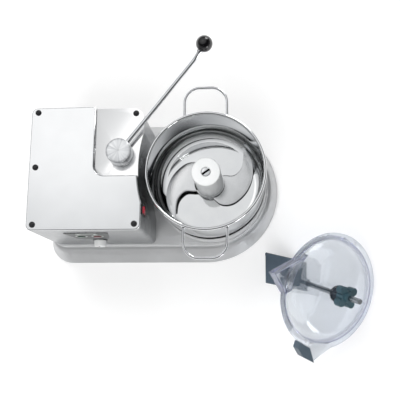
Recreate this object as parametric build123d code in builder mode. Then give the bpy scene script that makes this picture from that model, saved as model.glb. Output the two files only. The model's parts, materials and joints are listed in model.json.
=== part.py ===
"""Table-top bowl cutter: a fixed bowl with two spinning blades, a motor housing beside it,
a swing lever over the bowl, and a clear lid with a hand scraper that stands beside the machine.

Millimetres. The origin is on the worktop under the blade spindle: +X points from the motor
housing to the bowl, +Y to the back and +Z up.
"""
import os
from math import cos, radians, sin

from build123d import *

# ---------------------------------------------------------------- driving sizes
# Levels above the worktop
foot_height = 5
skirt_level = 14            # the skirt is widest here
ledge_level = 38            # top of the sloped skirt
deck_level = 62
turret_level = 94
rim_level = 236             # top of the bowl
cover_level = 260           # top of the housing

# Base casting
base_wall = 6
base_left = -379
skirt_half = 164
skirt_end = -14             # centre of the round end of the skirt
skirt_middle = 1
skirt_corner = 52
skirt_undercut = 3          # how far the bottom edge draws in
ledge_left = -370
ledge_half = 139.5
ledge_end = -5
ledge_corner = 34
plinth_middle = 3.5
plinth_margin = 6           # width of the ledge round the plinth
plinth_edge = 4
turret_radius = 124
turret_edge = 4
plate_thick = 2
plate_gap = 0.5
boss_radius = 7
screw_radius = 2.5
screw_gap = 0.05

# Motor housing
housing_left = -357
housing_right = -125
housing_front = -125.5
housing_back = 130.5
housing_wall = 4
housing_corner = 12
housing_back_corner = 22    # larger corner beside the lever
bite_radius = 280           # hollow in the wall that makes room for the bowl
bite_depth = 10
bite_middle = 4
cover_thick = 3
recess_left = -223
recess_front = -15
recess_depth = 14.5
recess_corner = 22
pan_thick = 2.5
fit_gap = 0.3
cover_edge = 2.4            # rolled edge of the sheet, all round and along the recess

# Cover screws and caps
cap_radius = 6.2
cap_height = 4.6
cap_wall = 1
cover_screw_spots = [(-343, 120), (-343, 4), (-343, -113.5), (-137.5, -113.5)]
recess_screw_spot = (-141.5, 119)

# Lever
pivot_x = -171
pivot_y = 33
lever_angle = 52          # open position, from +X
post_radius = 8
bush_radius = 12
bush_length = 31
bush_flange = 18
bush_flange_thick = 1
running_gap = 0.05
cap_clearance = 0.5
pivot_cap_radius = 25.5
pivot_cap_height = 26
rod_radius = 4.5
rod_rise = 14               # rod axis above the foot of the pivot cap
rod_socket = 14             # where the rod starts, from the pivot axis
bend_reach = 244
bend_radius = 30
ball_run = 35               # from the bend to the ball, along the lever
ball_radius = 17
ball_rise = 16
tower_radius = 17
tower_length = 63
tower_flange = 30
tower_flange_thick = 6
magnet_disc_radius = 20
magnet_disc_thick = 6
ring_thick = 2
ring_radius = 11.5

# Bowl
bowl_radius = 120           # inside
bowl_wall = 1.5
bowl_fillet = 24
seat_thick = 4
seat_inner = 84
seat_outer = 121
bead_radius = 3.25
tube_radius = 18.5          # outside of the centre tube
tube_clear = 22             # rim down to the top of the centre tube and the drive socket
tube_fillet = 5
handle_wire = 3
handle_half = 44
handle_stand = 58           # bowl's inside to the handle's axis
handle_corner = 33
handle_drop = 11            # rim down to the handle's axis

# Blade unit
hub_radius = 30
hub_drop = 18               # rim down to the top of the hub
hub_web = 20                # thickness of the hub above the drive socket's shoulder
hub_sleeve = 24             # outside of the sleeve that carries the blades
hub_bore = 20.5
blade_thick = 3
spacer_height = 6
nut_height = 5
blade_floor_gap = 3.5
coin_head_radius = 9.5
coin_head_height = 7
coin_shank_radius = 4
coin_slot = 2.6
hex_across = 17
hex_length = 8
hex_gap = 0.1
tip_radius = 111

# Spindle, belt and motor
spindle_radius = 10
bearing_radius = 21
bearing_width = 12
spindle_tube = 28
spindle_tube_length = 46
spindle_flange = 44
spindle_flange_thick = 6
belt_level = 32             # middle of the belt
belt_width = 12
belt_thick = 4
pulley_width = 20
pulley_flange = 3
motor_pulley_radius = 28
spindle_pulley_radius = 42
motor_x = -265
motor_radius = 64
motor_height = 118
motor_shaft_radius = 9
motor_plate_thick = 6
motor_plate_half = 66
fan_radius = 52
fan_height = 12
fan_cover_height = 26
fan_cover_wall = 1.5

# Controls
panel_top = 226
panel_bottom = 150
panel_left = -292
panel_right = -197
panel_taper = 14
panel_thick = 1
button_radius = 8
button_proud = 2.5
button_level = 186
button_gap = 0.4
start_x = -262
stop_x = -228
knob_x = -236
knob_level = 129
knob_radius = 13
knob_length = 14
knob_shaft = 3
pot_radius = 10
pot_length = 12
switch_y = -83
switch_width = 16
switch_height = 36
switch_level = 231
switch_depth = 20
rocker_gap = 0.4
gland_x = -310
gland_level = 92
gland_bore = 4
gland_radius = 10
gland_hex = 24
gland_proud = 18

# Lid, laid down beside the machine: it leans on its rim and on the scraper paddle
lid_x = 252.8
lid_y = -232.2
lid_tilt = 38.6
lid_turn = -26.5            # the way the lid's outside faces, from +X
lid_radius = 126
lid_lift = 0.6              # clearance under the rim
lid_flange = 13
lid_thick = 4
lid_crown = 30
lid_shoulder = 80           # radius where the crown meets the shoulder
spigot_depth = 7
spigot_wall = 3
lid_boss_radius = 16
lid_boss_top = 41
lid_bush_radius = 11
scraper_sleeve = 9
scraper_rod_radius = 6
scraper_rod_top = 98
scraper_rod_foot = -88
star_level = 46
star_height = 16
star_reach = 27
star_lobe = 8.5
star_turn = 62
paddle_thick = 5
paddle_inner = 4
paddle_outer = 108
paddle_turn = 14.6
paddle_low = (42, -102)     # (across, along the rod) of the paddle's lower edge
paddle_high = (-17, -76)
paddle_lip = 4
chute_height = 20
chute_wall = 3
ear_thick = 4
block_low = -8
block_high = 12

# ---------------------------------------------------------------- derived places
casting_bottom = foot_height
plate_top = casting_bottom + plate_thick
deck_under = deck_level - base_wall
turret_under = turret_level - base_wall
plinth_half = ledge_half - plinth_margin
bowl_bottom = turret_level + seat_thick
bowl_floor = bowl_bottom + bowl_wall
tube_top = rim_level - hub_drop - tube_clear
hub_top = rim_level - hub_drop
hub_shoulder = hub_top - hub_web
nut_level = bowl_floor + blade_floor_gap
lower_blade_level = nut_level + nut_height
spacer_level = lower_blade_level + blade_thick
upper_blade_level = spacer_level + spacer_height
hub_level = upper_blade_level + blade_thick
cover_under = cover_level - cover_thick
recess_floor = cover_level - recess_depth
pan_under = recess_floor - pan_thick
bush_top = recess_floor + bush_flange_thick
pivot_cap_foot = bush_top + cap_clearance
ball_reach = bend_reach + ball_run
tower_foot = pan_under - tower_length
rod_level = pivot_cap_foot + rod_rise
spindle_tube_foot = turret_level - spindle_tube_length
pulley_foot = belt_level - pulley_width / 2
motor_foot = deck_level + motor_plate_thick
motor_top = motor_foot + motor_height
spindle_top = hub_shoulder + hex_length

lid_normal = Vector(0, 0, 1).rotate(Axis.Y, lid_tilt).rotate(Axis.Z, lid_turn)
lid_down = Vector(1, 0, 0).rotate(Axis.Y, lid_tilt).rotate(Axis.Z, lid_turn)
lid_centre = Vector(lid_x, lid_y, lid_radius * sin(radians(lid_tilt)) + lid_lift)
lid_plane = Plane(origin=lid_centre, x_dir=lid_down, z_dir=lid_normal)
lid_section = Plane(origin=lid_centre, x_dir=lid_down, z_dir=lid_down.cross(lid_normal))
lid_axis = Axis(lid_centre, lid_normal)

pieces = {}


def keep(name, builder):
    """Label a finished piece and write it as its own STEP file."""
    builder.part.label = name
    export_step(builder.part, f"parts/{name}.step")
    pieces[name] = builder.part


def level(z):
    """A horizontal plane at a height above the worktop."""
    return Plane.XY.offset(z)


def stadium(left, end, half, middle, corner):
    """Outline of the base: two rounded corners on the left and a round end on the right."""
    with BuildLine() as outline:
        FilletPolyline(
            (end, middle + half),
            (left, middle + half),
            (left, middle - half),
            (end, middle - half),
            radius=corner,
        )
        ThreePointArc((end, middle - half), (end + half, middle), (end, middle + half))
    make_face(outline.edges())


def skirt_outline(inset, undercut=0):
    """Outline of the skirt, drawn in by an inset."""
    trim = inset + undercut
    stadium(base_left + trim, skirt_end, skirt_half - trim, skirt_middle, skirt_corner - trim)


def ledge_outline(inset):
    """Outline of the skirt's top edge, drawn in by an inset."""
    stadium(ledge_left + inset, ledge_end, ledge_half - inset, plinth_middle, ledge_corner - inset)


def housing_outline(inset):
    """Outline of the motor housing with the hollow beside the bowl, drawn in by an inset."""
    width = housing_right - housing_left - 2 * inset
    depth = housing_back - housing_front - 2 * inset
    middle = ((housing_right + housing_left) / 2, (housing_back + housing_front) / 2)
    with Locations(middle):
        Rectangle(width, depth)
    corners = vertices()
    fillet(corners.group_by(Axis.X)[0], housing_corner - inset)
    right = vertices().group_by(Axis.X)[-1].sort_by(Axis.Y)
    fillet(right[0], housing_corner - inset)
    fillet(vertices().group_by(Axis.X)[-1].sort_by(Axis.Y)[-1], housing_back_corner - inset)
    with Locations((housing_right - bite_depth + bite_radius, bite_middle)):
        Circle(bite_radius + inset, mode=Mode.SUBTRACT)


def recess_outline(grow, mode=Mode.ADD):
    """The sunk corner of the cover, open at the back and right, grown by a wall or a gap."""
    far = 60
    width = housing_right + far - recess_left + grow
    depth = housing_back + far - recess_front + grow
    with Locations((recess_left - grow + width / 2, recess_front - grow + depth / 2)):
        RectangleRounded(width, depth, recess_corner + grow, mode=mode)


def round_bar(radius, low, high, mode=Mode.ADD):
    """A vertical cylinder from one level to another, at the current locations."""
    with Locations((0, 0, low)):
        bar = Cylinder(radius, high - low, align=(Align.CENTER, Align.CENTER, Align.MIN), mode=mode)
    return bar


def polar(radius, angle):
    """A point of the horizontal plane from its distance and its angle in degrees."""
    return (radius * cos(radians(angle)), radius * sin(radians(angle)))


front_plane = Plane(origin=(0, housing_front, 0), x_dir=(1, 0, 0), z_dir=(0, -1, 0))
side_plane = Plane(origin=(housing_right, 0, 0), x_dir=(0, 1, 0), z_dir=(1, 0, 0))
back_plane = Plane(origin=(0, housing_back, 0), x_dir=(-1, 0, 0), z_dir=(0, 1, 0))

os.makedirs("parts", exist_ok=True)

# ---------------------------------------------------------------- base
post_spots = cover_screw_spots + [recess_screw_spot]
boss_y = plinth_half - base_wall - boss_radius / 2
boss_inset = 79
boss_places = (base_left + boss_inset, base_left + 2.5 * boss_inset, skirt_end + boss_inset / 2)
boss_spots = [(x, plinth_middle + side * boss_y) for x in boss_places for side in (-1, 1)]
motor_hole = motor_pulley_radius + 2 * pulley_flange
bolt_radius = 4
bolt_head_radius = 6.5
bolt_head = 5
post_bolt_depth = 22
motor_bolt_offset = 55
motor_bolt_spots = [
    (motor_x + i * motor_bolt_offset, j * motor_bolt_offset) for i in (-1, 1) for j in (-1, 1)
]
spindle_bolt_circle = 36
spindle_bolt_radius = 3
spindle_bolt_head = 3

with BuildPart() as base_casting:
    with BuildSketch(level(casting_bottom)):
        skirt_outline(0, skirt_undercut)
    with BuildSketch(level(skirt_level)):
        skirt_outline(0)
    loft(ruled=True)
    with BuildSketch(level(skirt_level)):
        skirt_outline(0)
    with BuildSketch(level(ledge_level)):
        ledge_outline(0)
    loft(ruled=True)
    with BuildSketch(level(ledge_level)):
        ledge_outline(plinth_margin)
    extrude(amount=deck_level - ledge_level)
    fillet(base_casting.faces().sort_by(Axis.Z)[-1].edges(), plinth_edge)
    round_bar(turret_radius, deck_level, turret_level)
    fillet(base_casting.faces().sort_by(Axis.Z)[-1].edges(), turret_edge)
    with BuildSketch(level(casting_bottom)):
        skirt_outline(base_wall)
    extrude(amount=plate_thick, mode=Mode.SUBTRACT)
    with BuildSketch(level(plate_top)):
        skirt_outline(base_wall)
    with BuildSketch(level(ledge_level - base_wall)):
        ledge_outline(base_wall)
    loft(ruled=True, mode=Mode.SUBTRACT)
    with BuildSketch(level(ledge_level - base_wall)):
        ledge_outline(plinth_margin + base_wall)
    extrude(amount=deck_under - ledge_level + base_wall, mode=Mode.SUBTRACT)
    round_bar(turret_radius - base_wall, deck_under, turret_under, Mode.SUBTRACT)
    with Locations(boss_spots):
        round_bar(boss_radius, plate_top, deck_under)
        round_bar(screw_radius + screw_gap, plate_top, deck_under - base_wall, Mode.SUBTRACT)
    with Locations((motor_x, 0)):
        round_bar(motor_hole, deck_under, deck_level, Mode.SUBTRACT)
    with Locations(motor_bolt_spots + post_spots):
        round_bar(bolt_radius + screw_gap, deck_under, deck_level, Mode.SUBTRACT)
    round_bar(spindle_tube, turret_under, turret_level, Mode.SUBTRACT)
    with PolarLocations(spindle_bolt_circle, 4):
        round_bar(spindle_bolt_radius + screw_gap, turret_under, turret_level, Mode.SUBTRACT)
keep("base_casting", base_casting)

vent_length = 60
vent_width = 5
vent_pitch = 12
foot_radius = 15
foot_stem = 4
foot_inset = 57
foot_ends = (base_left + foot_inset, foot_inset)
foot_y = skirt_half - foot_inset
foot_spots = [(x, skirt_middle + side * foot_y) for x in foot_ends for side in (-1, 1)] + [(0, 0)]
with BuildPart() as base_plate:
    with BuildSketch(level(casting_bottom)):
        skirt_outline(base_wall + plate_gap)
        with Locations((motor_x, 0)):
            with GridLocations(0, vent_pitch, 1, 7):
                SlotOverall(vent_length, vent_width, mode=Mode.SUBTRACT)
        with Locations(boss_spots):
            Circle(screw_radius + screw_gap, mode=Mode.SUBTRACT)
        with Locations(foot_spots):
            Circle(foot_stem + screw_gap, mode=Mode.SUBTRACT)
    extrude(amount=plate_thick)
keep("base_plate", base_plate)

screw_head_radius = 4.5
screw_head = 2.2
with BuildPart() as base_screws:
    with Locations(boss_spots):
        round_bar(screw_head_radius, casting_bottom - screw_head, casting_bottom)
        round_bar(screw_radius, casting_bottom, deck_under - 4 * base_wall)
keep("base_screws", base_screws)

foot_barb = 3
with BuildPart() as feet:
    with Locations(foot_spots):
        with Locations((0, 0, foot_height / 2)):
            Cone(foot_radius, foot_radius - 2, foot_height)
        round_bar(foot_stem, foot_height, plate_top)
        round_bar(foot_stem + 1, plate_top, plate_top + foot_barb)
keep("feet", feet)

with BuildPart() as bowl_seat_ring:
    round_bar(seat_outer, turret_level, bowl_bottom)
    round_bar(seat_inner, turret_level, bowl_bottom, Mode.SUBTRACT)
keep("bowl_seat_ring", bowl_seat_ring)

# ---------------------------------------------------------------- motor housing
post_width = 10.5
cover_screw_length = 24
pot_bush = 4
dial_thick = 0.8
bezel = 3
gland_hole = gland_radius + screw_gap
with BuildSketch() as post_limits:
    housing_outline(housing_wall / 2)

with BuildPart() as housing_shell:
    with BuildSketch(level(deck_level)):
        housing_outline(0)
    extrude(amount=cover_under - deck_level)
    with BuildSketch(level(deck_level)):
        housing_outline(housing_wall)
    extrude(amount=cover_under - deck_level, mode=Mode.SUBTRACT)
    with BuildSketch(level(deck_level)):
        with Locations(post_spots):
            Circle(post_width)
        add(post_limits.sketch, mode=Mode.INTERSECT)
    extrude(amount=cover_under - deck_level)
    with BuildSketch(level(pan_under)):
        recess_outline(pan_thick + fit_gap)
    extrude(amount=cover_level - pan_under, mode=Mode.SUBTRACT)
    with Locations(post_spots):
        round_bar(bolt_radius + screw_gap, deck_level, deck_level + post_bolt_depth, Mode.SUBTRACT)
    with Locations(cover_screw_spots):
        round_bar(screw_radius + screw_gap, cover_under - cover_screw_length, cover_under, Mode.SUBTRACT)
    with Locations(recess_screw_spot):
        round_bar(screw_radius + screw_gap, pan_under - cover_screw_length, pan_under, Mode.SUBTRACT)
    with BuildSketch(front_plane):
        with Locations((start_x, button_level), (stop_x, button_level)):
            Circle(button_radius + button_gap)
        with Locations((knob_x, knob_level)):
            Circle(pot_bush + screw_gap)
    extrude(amount=-housing_wall, mode=Mode.SUBTRACT)
    with BuildSketch(side_plane):
        with Locations((switch_y, switch_level)):
            Rectangle(switch_width, switch_height)
    extrude(amount=-housing_wall, mode=Mode.SUBTRACT)
    with BuildSketch(back_plane):
        with Locations((-gland_x, gland_level)):
            Circle(gland_hole)
    extrude(amount=-housing_wall, mode=Mode.SUBTRACT)
keep("housing_shell", housing_shell)

with BuildPart() as housing_bolts:
    with Locations(post_spots):
        round_bar(bolt_head_radius, deck_under - bolt_head, deck_under)
        round_bar(bolt_radius, deck_under, deck_level + post_bolt_depth - 2)
keep("housing_bolts", housing_bolts)

with BuildPart() as top_cover:
    with BuildSketch(level(cover_under)):
        housing_outline(0)
    extrude(amount=cover_thick)
    with BuildSketch(level(pan_under)):
        housing_outline(0)
        recess_outline(pan_thick, Mode.INTERSECT)
    extrude(amount=cover_under - pan_under)
    with BuildSketch(level(recess_floor)):
        recess_outline(0)
    extrude(amount=cover_level - recess_floor, mode=Mode.SUBTRACT)
    fillet(top_cover.faces().sort_by(Axis.Z)[-1].outer_wire().edges(), cover_edge)
    with Locations((pivot_x, pivot_y)):
        round_bar(bush_radius, pan_under, recess_floor, Mode.SUBTRACT)
    with Locations(cover_screw_spots):
        round_bar(screw_radius + screw_gap, cover_under, cover_level, Mode.SUBTRACT)
    with Locations(recess_screw_spot):
        round_bar(screw_radius + screw_gap, pan_under, recess_floor, Mode.SUBTRACT)
keep("top_cover", top_cover)

cover_screw_tops = [(x, y, cover_level) for x, y in cover_screw_spots]
cover_screw_tops.append((*recess_screw_spot, recess_floor))
with BuildPart() as cover_screws:
    with Locations(cover_screw_tops):
        round_bar(screw_head_radius, 0, screw_head)
        round_bar(screw_radius, 2 - cover_screw_length, 0)
keep("cover_screws", cover_screws)

with BuildPart() as cap_dome:
    round_bar(cap_radius, 0, cap_height)
    fillet(cap_dome.faces().sort_by(Axis.Z)[-1].edges(), cap_height - cap_wall)
    round_bar(screw_head_radius + screw_gap, 0, screw_head + screw_gap, Mode.SUBTRACT)
with BuildPart() as screw_caps:
    with Locations(cover_screw_tops):
        add(cap_dome.part)
keep("screw_caps", screw_caps)

# ---------------------------------------------------------------- swing lever
pivot_spot = (pivot_x, pivot_y)
tower_bore = post_radius + 0.5
bush_foot = bush_top - bush_length
post_top = rod_level - rod_radius - 1
ring_level = tower_foot - ring_thick - cap_clearance
disc_top = ring_level - 1.5
post_foot = disc_top - magnet_disc_thick
lever_way = Vector(cos(radians(lever_angle)), sin(radians(lever_angle)), 0)
lever_plane = Plane(
    origin=(pivot_x, pivot_y, rod_level), x_dir=lever_way, z_dir=lever_way.cross(Vector(0, 0, 1))
)

with BuildPart() as pivot_tower:
    with Locations(pivot_spot):
        round_bar(tower_radius, tower_foot, pan_under)
        round_bar(tower_flange, pan_under - tower_flange_thick, pan_under)
        round_bar(bush_radius, bush_foot, pan_under, Mode.SUBTRACT)
        round_bar(tower_bore, tower_foot, bush_foot, Mode.SUBTRACT)
keep("pivot_tower", pivot_tower)

with BuildPart() as pivot_bush:
    with Locations(pivot_spot):
        round_bar(bush_radius, bush_foot, recess_floor)
        round_bar(bush_flange, recess_floor, bush_top)
        round_bar(post_radius + running_gap, bush_foot, bush_top, Mode.SUBTRACT)
keep("pivot_bush", pivot_bush)

with BuildPart() as pivot_post:
    with Locations(pivot_spot):
        round_bar(post_radius, post_foot, post_top)
keep("pivot_post", pivot_post)

with BuildPart() as post_ring:
    with Locations(pivot_spot):
        round_bar(ring_radius, ring_level, ring_level + ring_thick)
        round_bar(post_radius, ring_level, ring_level + ring_thick, Mode.SUBTRACT)
keep("post_ring", post_ring)

with BuildPart() as lever_magnet:
    with Locations(pivot_spot):
        round_bar(magnet_disc_radius, post_foot, disc_top)
        round_bar(post_radius, post_foot, disc_top, Mode.SUBTRACT)
keep("lever_magnet", lever_magnet)

sensor_width = 16
sensor_depth = 14
sensor_height = 18
with BuildPart() as lever_sensor:
    with Locations((pivot_x, pivot_y + tower_radius + sensor_depth / 2 - 1, tower_foot + 1)):
        Box(sensor_width, sensor_depth, sensor_height, align=(Align.CENTER, Align.CENTER, Align.MIN))
    with Locations(pivot_spot):
        round_bar(tower_radius, tower_foot, pan_under, Mode.SUBTRACT)
keep("lever_sensor", lever_sensor)

pivot_cap_top = pivot_cap_foot + pivot_cap_height
pivot_cap_edge = 1
with BuildPart() as pivot_cap:
    with Locations(pivot_spot):
        round_bar(pivot_cap_radius, pivot_cap_foot, pivot_cap_top)
        chamfer(pivot_cap.edges().filter_by(GeomType.CIRCLE), pivot_cap_edge)
        round_bar(post_radius, pivot_cap_foot, post_top, Mode.SUBTRACT)
    with BuildSketch(Plane(origin=lever_plane.from_local_coords((rod_socket, 0, 0)), z_dir=lever_way)):
        Circle(rod_radius)
    extrude(amount=pivot_cap_radius, mode=Mode.SUBTRACT)
keep("pivot_cap", pivot_cap)

ball_spot = (ball_reach, ball_rise)
with BuildPart() as lever_rod:
    with BuildLine(lever_plane) as rod_path:
        FilletPolyline((rod_socket, 0), (bend_reach, 0), ball_spot, radius=bend_radius)
    with BuildSketch(Plane(origin=rod_path.line @ 0, z_dir=rod_path.line % 0)):
        Circle(rod_radius)
    sweep()
keep("lever_rod", lever_rod)

with BuildPart() as lever_ball:
    with Locations(lever_plane.from_local_coords((*ball_spot, 0))):
        Sphere(ball_radius)
    add(lever_rod.part, mode=Mode.SUBTRACT)
keep("lever_ball", lever_ball)

# ---------------------------------------------------------------- bowl
wall_line = bowl_radius + bowl_wall / 2
tube_line = tube_radius - bowl_wall / 2
bowl_outer = bowl_radius + bowl_wall
with BuildPart() as bowl:
    with BuildSketch(Plane.XZ):
        with BuildLine():
            FilletPolyline(
                (tube_line, tube_top),
                (tube_line, bowl_bottom + bowl_wall / 2),
                (wall_line, bowl_bottom + bowl_wall / 2),
                (wall_line, rim_level - bead_radius),
                radius=(tube_fillet, bowl_fillet),
            )
        trace(line_width=bowl_wall)
        with Locations((bowl_radius + bead_radius, rim_level - bead_radius)):
            Circle(bead_radius)
    revolve(axis=Axis.Z)
keep("bowl", bowl)

handle_level = rim_level - handle_drop
handle_far = bowl_radius + handle_stand
handle_start = bowl_radius - 10     # inside the wall, before the wire's end is cut to the bowl
with BuildPart() as bowl_handles:
    with BuildLine(level(handle_level)) as handle_path:
        FilletPolyline(
            (handle_half, handle_start),
            (handle_half, handle_far),
            (-handle_half, handle_far),
            (-handle_half, handle_start),
            radius=handle_corner,
        )
    with BuildSketch(Plane(origin=handle_path.line @ 0, z_dir=handle_path.line % 0)):
        Circle(handle_wire)
    sweep()
    mirror(about=Plane.XZ)
    round_bar(bowl_outer, bowl_bottom, rim_level, Mode.SUBTRACT)
keep("bowl_handles", bowl_handles)

# ---------------------------------------------------------------- blade unit
hub_edge = 3
screw_head_level = hub_top - coin_head_height
shank_foot = hub_shoulder - 8
with BuildPart() as blade_hub:
    round_bar(hub_radius, hub_level, hub_top)
    fillet(blade_hub.faces().sort_by(Axis.Z)[-1].edges(), hub_edge)
    round_bar(hub_sleeve, nut_level, hub_level)
    round_bar(hub_bore, nut_level, hub_shoulder, Mode.SUBTRACT)
    with BuildSketch(level(hub_shoulder)):
        RegularPolygon(hex_across / 2 + hex_gap, 6, major_radius=False)
    extrude(amount=hex_length + 1, mode=Mode.SUBTRACT)
    round_bar(coin_shank_radius + screw_gap, hub_shoulder, hub_top, Mode.SUBTRACT)
    round_bar(coin_head_radius + screw_gap, screw_head_level, hub_top, Mode.SUBTRACT)
keep("blade_hub", blade_hub)

with BuildPart() as hub_screw:
    round_bar(coin_head_radius, screw_head_level, hub_top)
    round_bar(coin_shank_radius, shank_foot, screw_head_level)
    with BuildSketch(level(hub_top)):
        Rectangle(2 * coin_head_radius, coin_slot, rotation=35)
    extrude(amount=-coin_slot, mode=Mode.SUBTRACT)
keep("hub_screw", hub_screw)

# Each blade is a sickle: the cutting edge and the hollow back, as shares of the tip's radius and angles
blade_ring = 33
cutting_edge = [
    (0.234, 92), (0.468, 118), (0.613, 140), (0.73, 165), (0.833, 185), (0.91, 201), (0.968, 217), (1, 230)
]
hollow_edge = [(1, 230), (0.865, 220), (0.703, 207), (0.514, 199), (0.351, 208), (0.243, 224)]


def sickle(bottom, turn):
    """One blade with the ring that slips over the hub's sleeve."""
    with BuildPart() as blade:
        with BuildSketch(level(bottom)):
            with BuildLine():
                edge = Spline(*[polar(tip_radius * share, angle + turn) for share, angle in cutting_edge])
                back = Spline(*[polar(tip_radius * share, angle + turn) for share, angle in hollow_edge])
                Line(back @ 1, edge @ 0)
            make_face()
            Circle(blade_ring)
            Circle(hub_sleeve, mode=Mode.SUBTRACT)
        extrude(amount=blade_thick)
    return blade


lower_blade = sickle(lower_blade_level, 0)
keep("lower_blade", lower_blade)
upper_blade = sickle(upper_blade_level, 180)
keep("upper_blade", upper_blade)

with BuildPart() as blade_spacer:
    round_bar(hub_radius, spacer_level, upper_blade_level)
    round_bar(hub_sleeve, spacer_level, upper_blade_level, Mode.SUBTRACT)
keep("blade_spacer", blade_spacer)

with BuildPart() as blade_nut:
    with BuildSketch(level(nut_level)):
        RegularPolygon(hub_radius, 8, major_radius=False)
        Circle(hub_sleeve, mode=Mode.SUBTRACT)
    extrude(amount=nut_height)
keep("blade_nut", blade_nut)

# ---------------------------------------------------------------- spindle and belt
seal_height = 4
lip = 2
upper_bearing = turret_level - seal_height - bearing_width
lower_bearing = spindle_tube_foot + lip
with BuildPart() as spindle_housing:
    round_bar(spindle_tube, spindle_tube_foot, turret_level)
    round_bar(spindle_flange, turret_under - spindle_flange_thick, turret_under)
    round_bar(bearing_radius, lower_bearing, turret_level, Mode.SUBTRACT)
    round_bar(bearing_radius - 2 * lip, spindle_tube_foot, lower_bearing, Mode.SUBTRACT)
    with PolarLocations(spindle_bolt_circle, 4):
        bolt_hole = spindle_bolt_radius + screw_gap
        round_bar(bolt_hole, turret_under - spindle_flange_thick, turret_under, Mode.SUBTRACT)
keep("spindle_housing", spindle_housing)

with BuildPart() as spindle_bolts:
    with PolarLocations(spindle_bolt_circle, 4):
        round_bar(2 * spindle_bolt_radius - 1, turret_level, turret_level + spindle_bolt_head)
        round_bar(spindle_bolt_radius, turret_under - spindle_flange_thick, turret_level)
keep("spindle_bolts", spindle_bolts)

with BuildPart() as spindle_bearings:
    for foot in (lower_bearing, upper_bearing):
        round_bar(bearing_radius, foot, foot + bearing_width)
        round_bar(spindle_radius + running_gap, foot, foot + bearing_width, Mode.SUBTRACT)
keep("spindle_bearings", spindle_bearings)

with BuildPart() as shaft_seal:
    round_bar(bearing_radius, turret_level - seal_height, turret_level)
    round_bar(spindle_radius + running_gap, turret_level - seal_height, turret_level, Mode.SUBTRACT)
keep("shaft_seal", shaft_seal)

with BuildPart() as spindle:
    round_bar(spindle_radius, pulley_foot, hub_shoulder)
    with BuildSketch(level(hub_shoulder)):
        RegularPolygon(hex_across / 2, 6, major_radius=False)
    extrude(amount=hex_length)
    round_bar(coin_shank_radius + screw_gap, shank_foot - 2, spindle_top, Mode.SUBTRACT)
keep("spindle", spindle)

flange_gap = 0.5
flange_thick = (pulley_width - belt_width) / 2 - flange_gap
pulley_top = pulley_foot + pulley_width


def pulley(spot, radius, bore):
    """A flat pulley with two flanges."""
    with BuildPart() as wheel:
        with Locations(spot):
            round_bar(radius, pulley_foot, pulley_top)
            round_bar(radius + pulley_flange, pulley_foot, pulley_foot + flange_thick)
            round_bar(radius + pulley_flange, pulley_top - flange_thick, pulley_top)
            round_bar(bore, pulley_foot, pulley_top, Mode.SUBTRACT)
    return wheel


def belt_outline(grow, mode=Mode.ADD):
    """A loop round both pulleys, away from them by a distance."""
    with BuildSketch() as wheels:
        with Locations((motor_x, 0)):
            Circle(motor_pulley_radius + grow)
        Circle(spindle_pulley_radius + grow)
    add(make_hull(wheels.edges(), mode=Mode.PRIVATE), mode=mode)


motor_pulley = pulley((motor_x, 0), motor_pulley_radius, motor_shaft_radius)
keep("motor_pulley", motor_pulley)
spindle_pulley = pulley((0, 0), spindle_pulley_radius, spindle_radius)
keep("spindle_pulley", spindle_pulley)

with BuildPart() as drive_belt:
    with BuildSketch(level(belt_level - belt_width / 2)):
        belt_outline(running_gap + belt_thick)
        belt_outline(running_gap, Mode.SUBTRACT)
    extrude(amount=belt_width)
keep("drive_belt", drive_belt)

# ---------------------------------------------------------------- motor
end_bell = 16
bell_draw = 8
shaft_top = motor_top + 2 + fan_height
with BuildPart() as motor_plate:
    with BuildSketch(level(deck_level)):
        with Locations((motor_x, 0)):
            RectangleRounded(2 * motor_plate_half, 2 * motor_plate_half, bolt_head_radius)
            Circle(motor_hole, mode=Mode.SUBTRACT)
        with Locations(motor_bolt_spots):
            Circle(bolt_radius + screw_gap, mode=Mode.SUBTRACT)
    extrude(amount=motor_plate_thick)
keep("motor_plate", motor_plate)

with BuildPart() as motor_bolts:
    with Locations(motor_bolt_spots):
        round_bar(bolt_head_radius, motor_foot, motor_foot + bolt_head)
        round_bar(bolt_radius, deck_under - bolt_head, motor_foot)
keep("motor_bolts", motor_bolts)

fin_count = 24
fin_depth = 3
fin_width = 4
with BuildPart() as motor_body:
    with Locations((motor_x, 0)):
        round_bar(motor_radius - bell_draw, motor_foot, motor_top)
        round_bar(motor_radius, motor_foot + end_bell, motor_top - end_bell)
        with PolarLocations(motor_radius, fin_count):
            with Locations((0, 0, motor_foot + end_bell)):
                Box(2 * fin_depth, fin_width, motor_height - 2 * end_bell, mode=Mode.SUBTRACT,
                    align=(Align.CENTER, Align.CENTER, Align.MIN))
        round_bar(motor_shaft_radius + running_gap, motor_foot, motor_top, Mode.SUBTRACT)
keep("motor_body", motor_body)

with BuildPart() as motor_shaft:
    with Locations((motor_x, 0)):
        round_bar(motor_shaft_radius, pulley_foot, shaft_top)
keep("motor_shaft", motor_shaft)

fan_hub = 18
fan_blades = 7
fan_foot = motor_top + 2
with BuildPart() as motor_fan:
    with Locations((motor_x, 0)):
        round_bar(fan_hub, fan_foot, shaft_top)
        round_bar(fan_radius, fan_foot, fan_foot + bowl_wall)
        with PolarLocations(0, fan_blades):
            with Locations((fan_radius / 2, 0, fan_foot)):
                Box(fan_radius - 4, 2, fan_height, align=(Align.CENTER, Align.CENTER, Align.MIN))
        round_bar(motor_shaft_radius, fan_foot, shaft_top, Mode.SUBTRACT)
keep("motor_fan", motor_fan)

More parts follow.
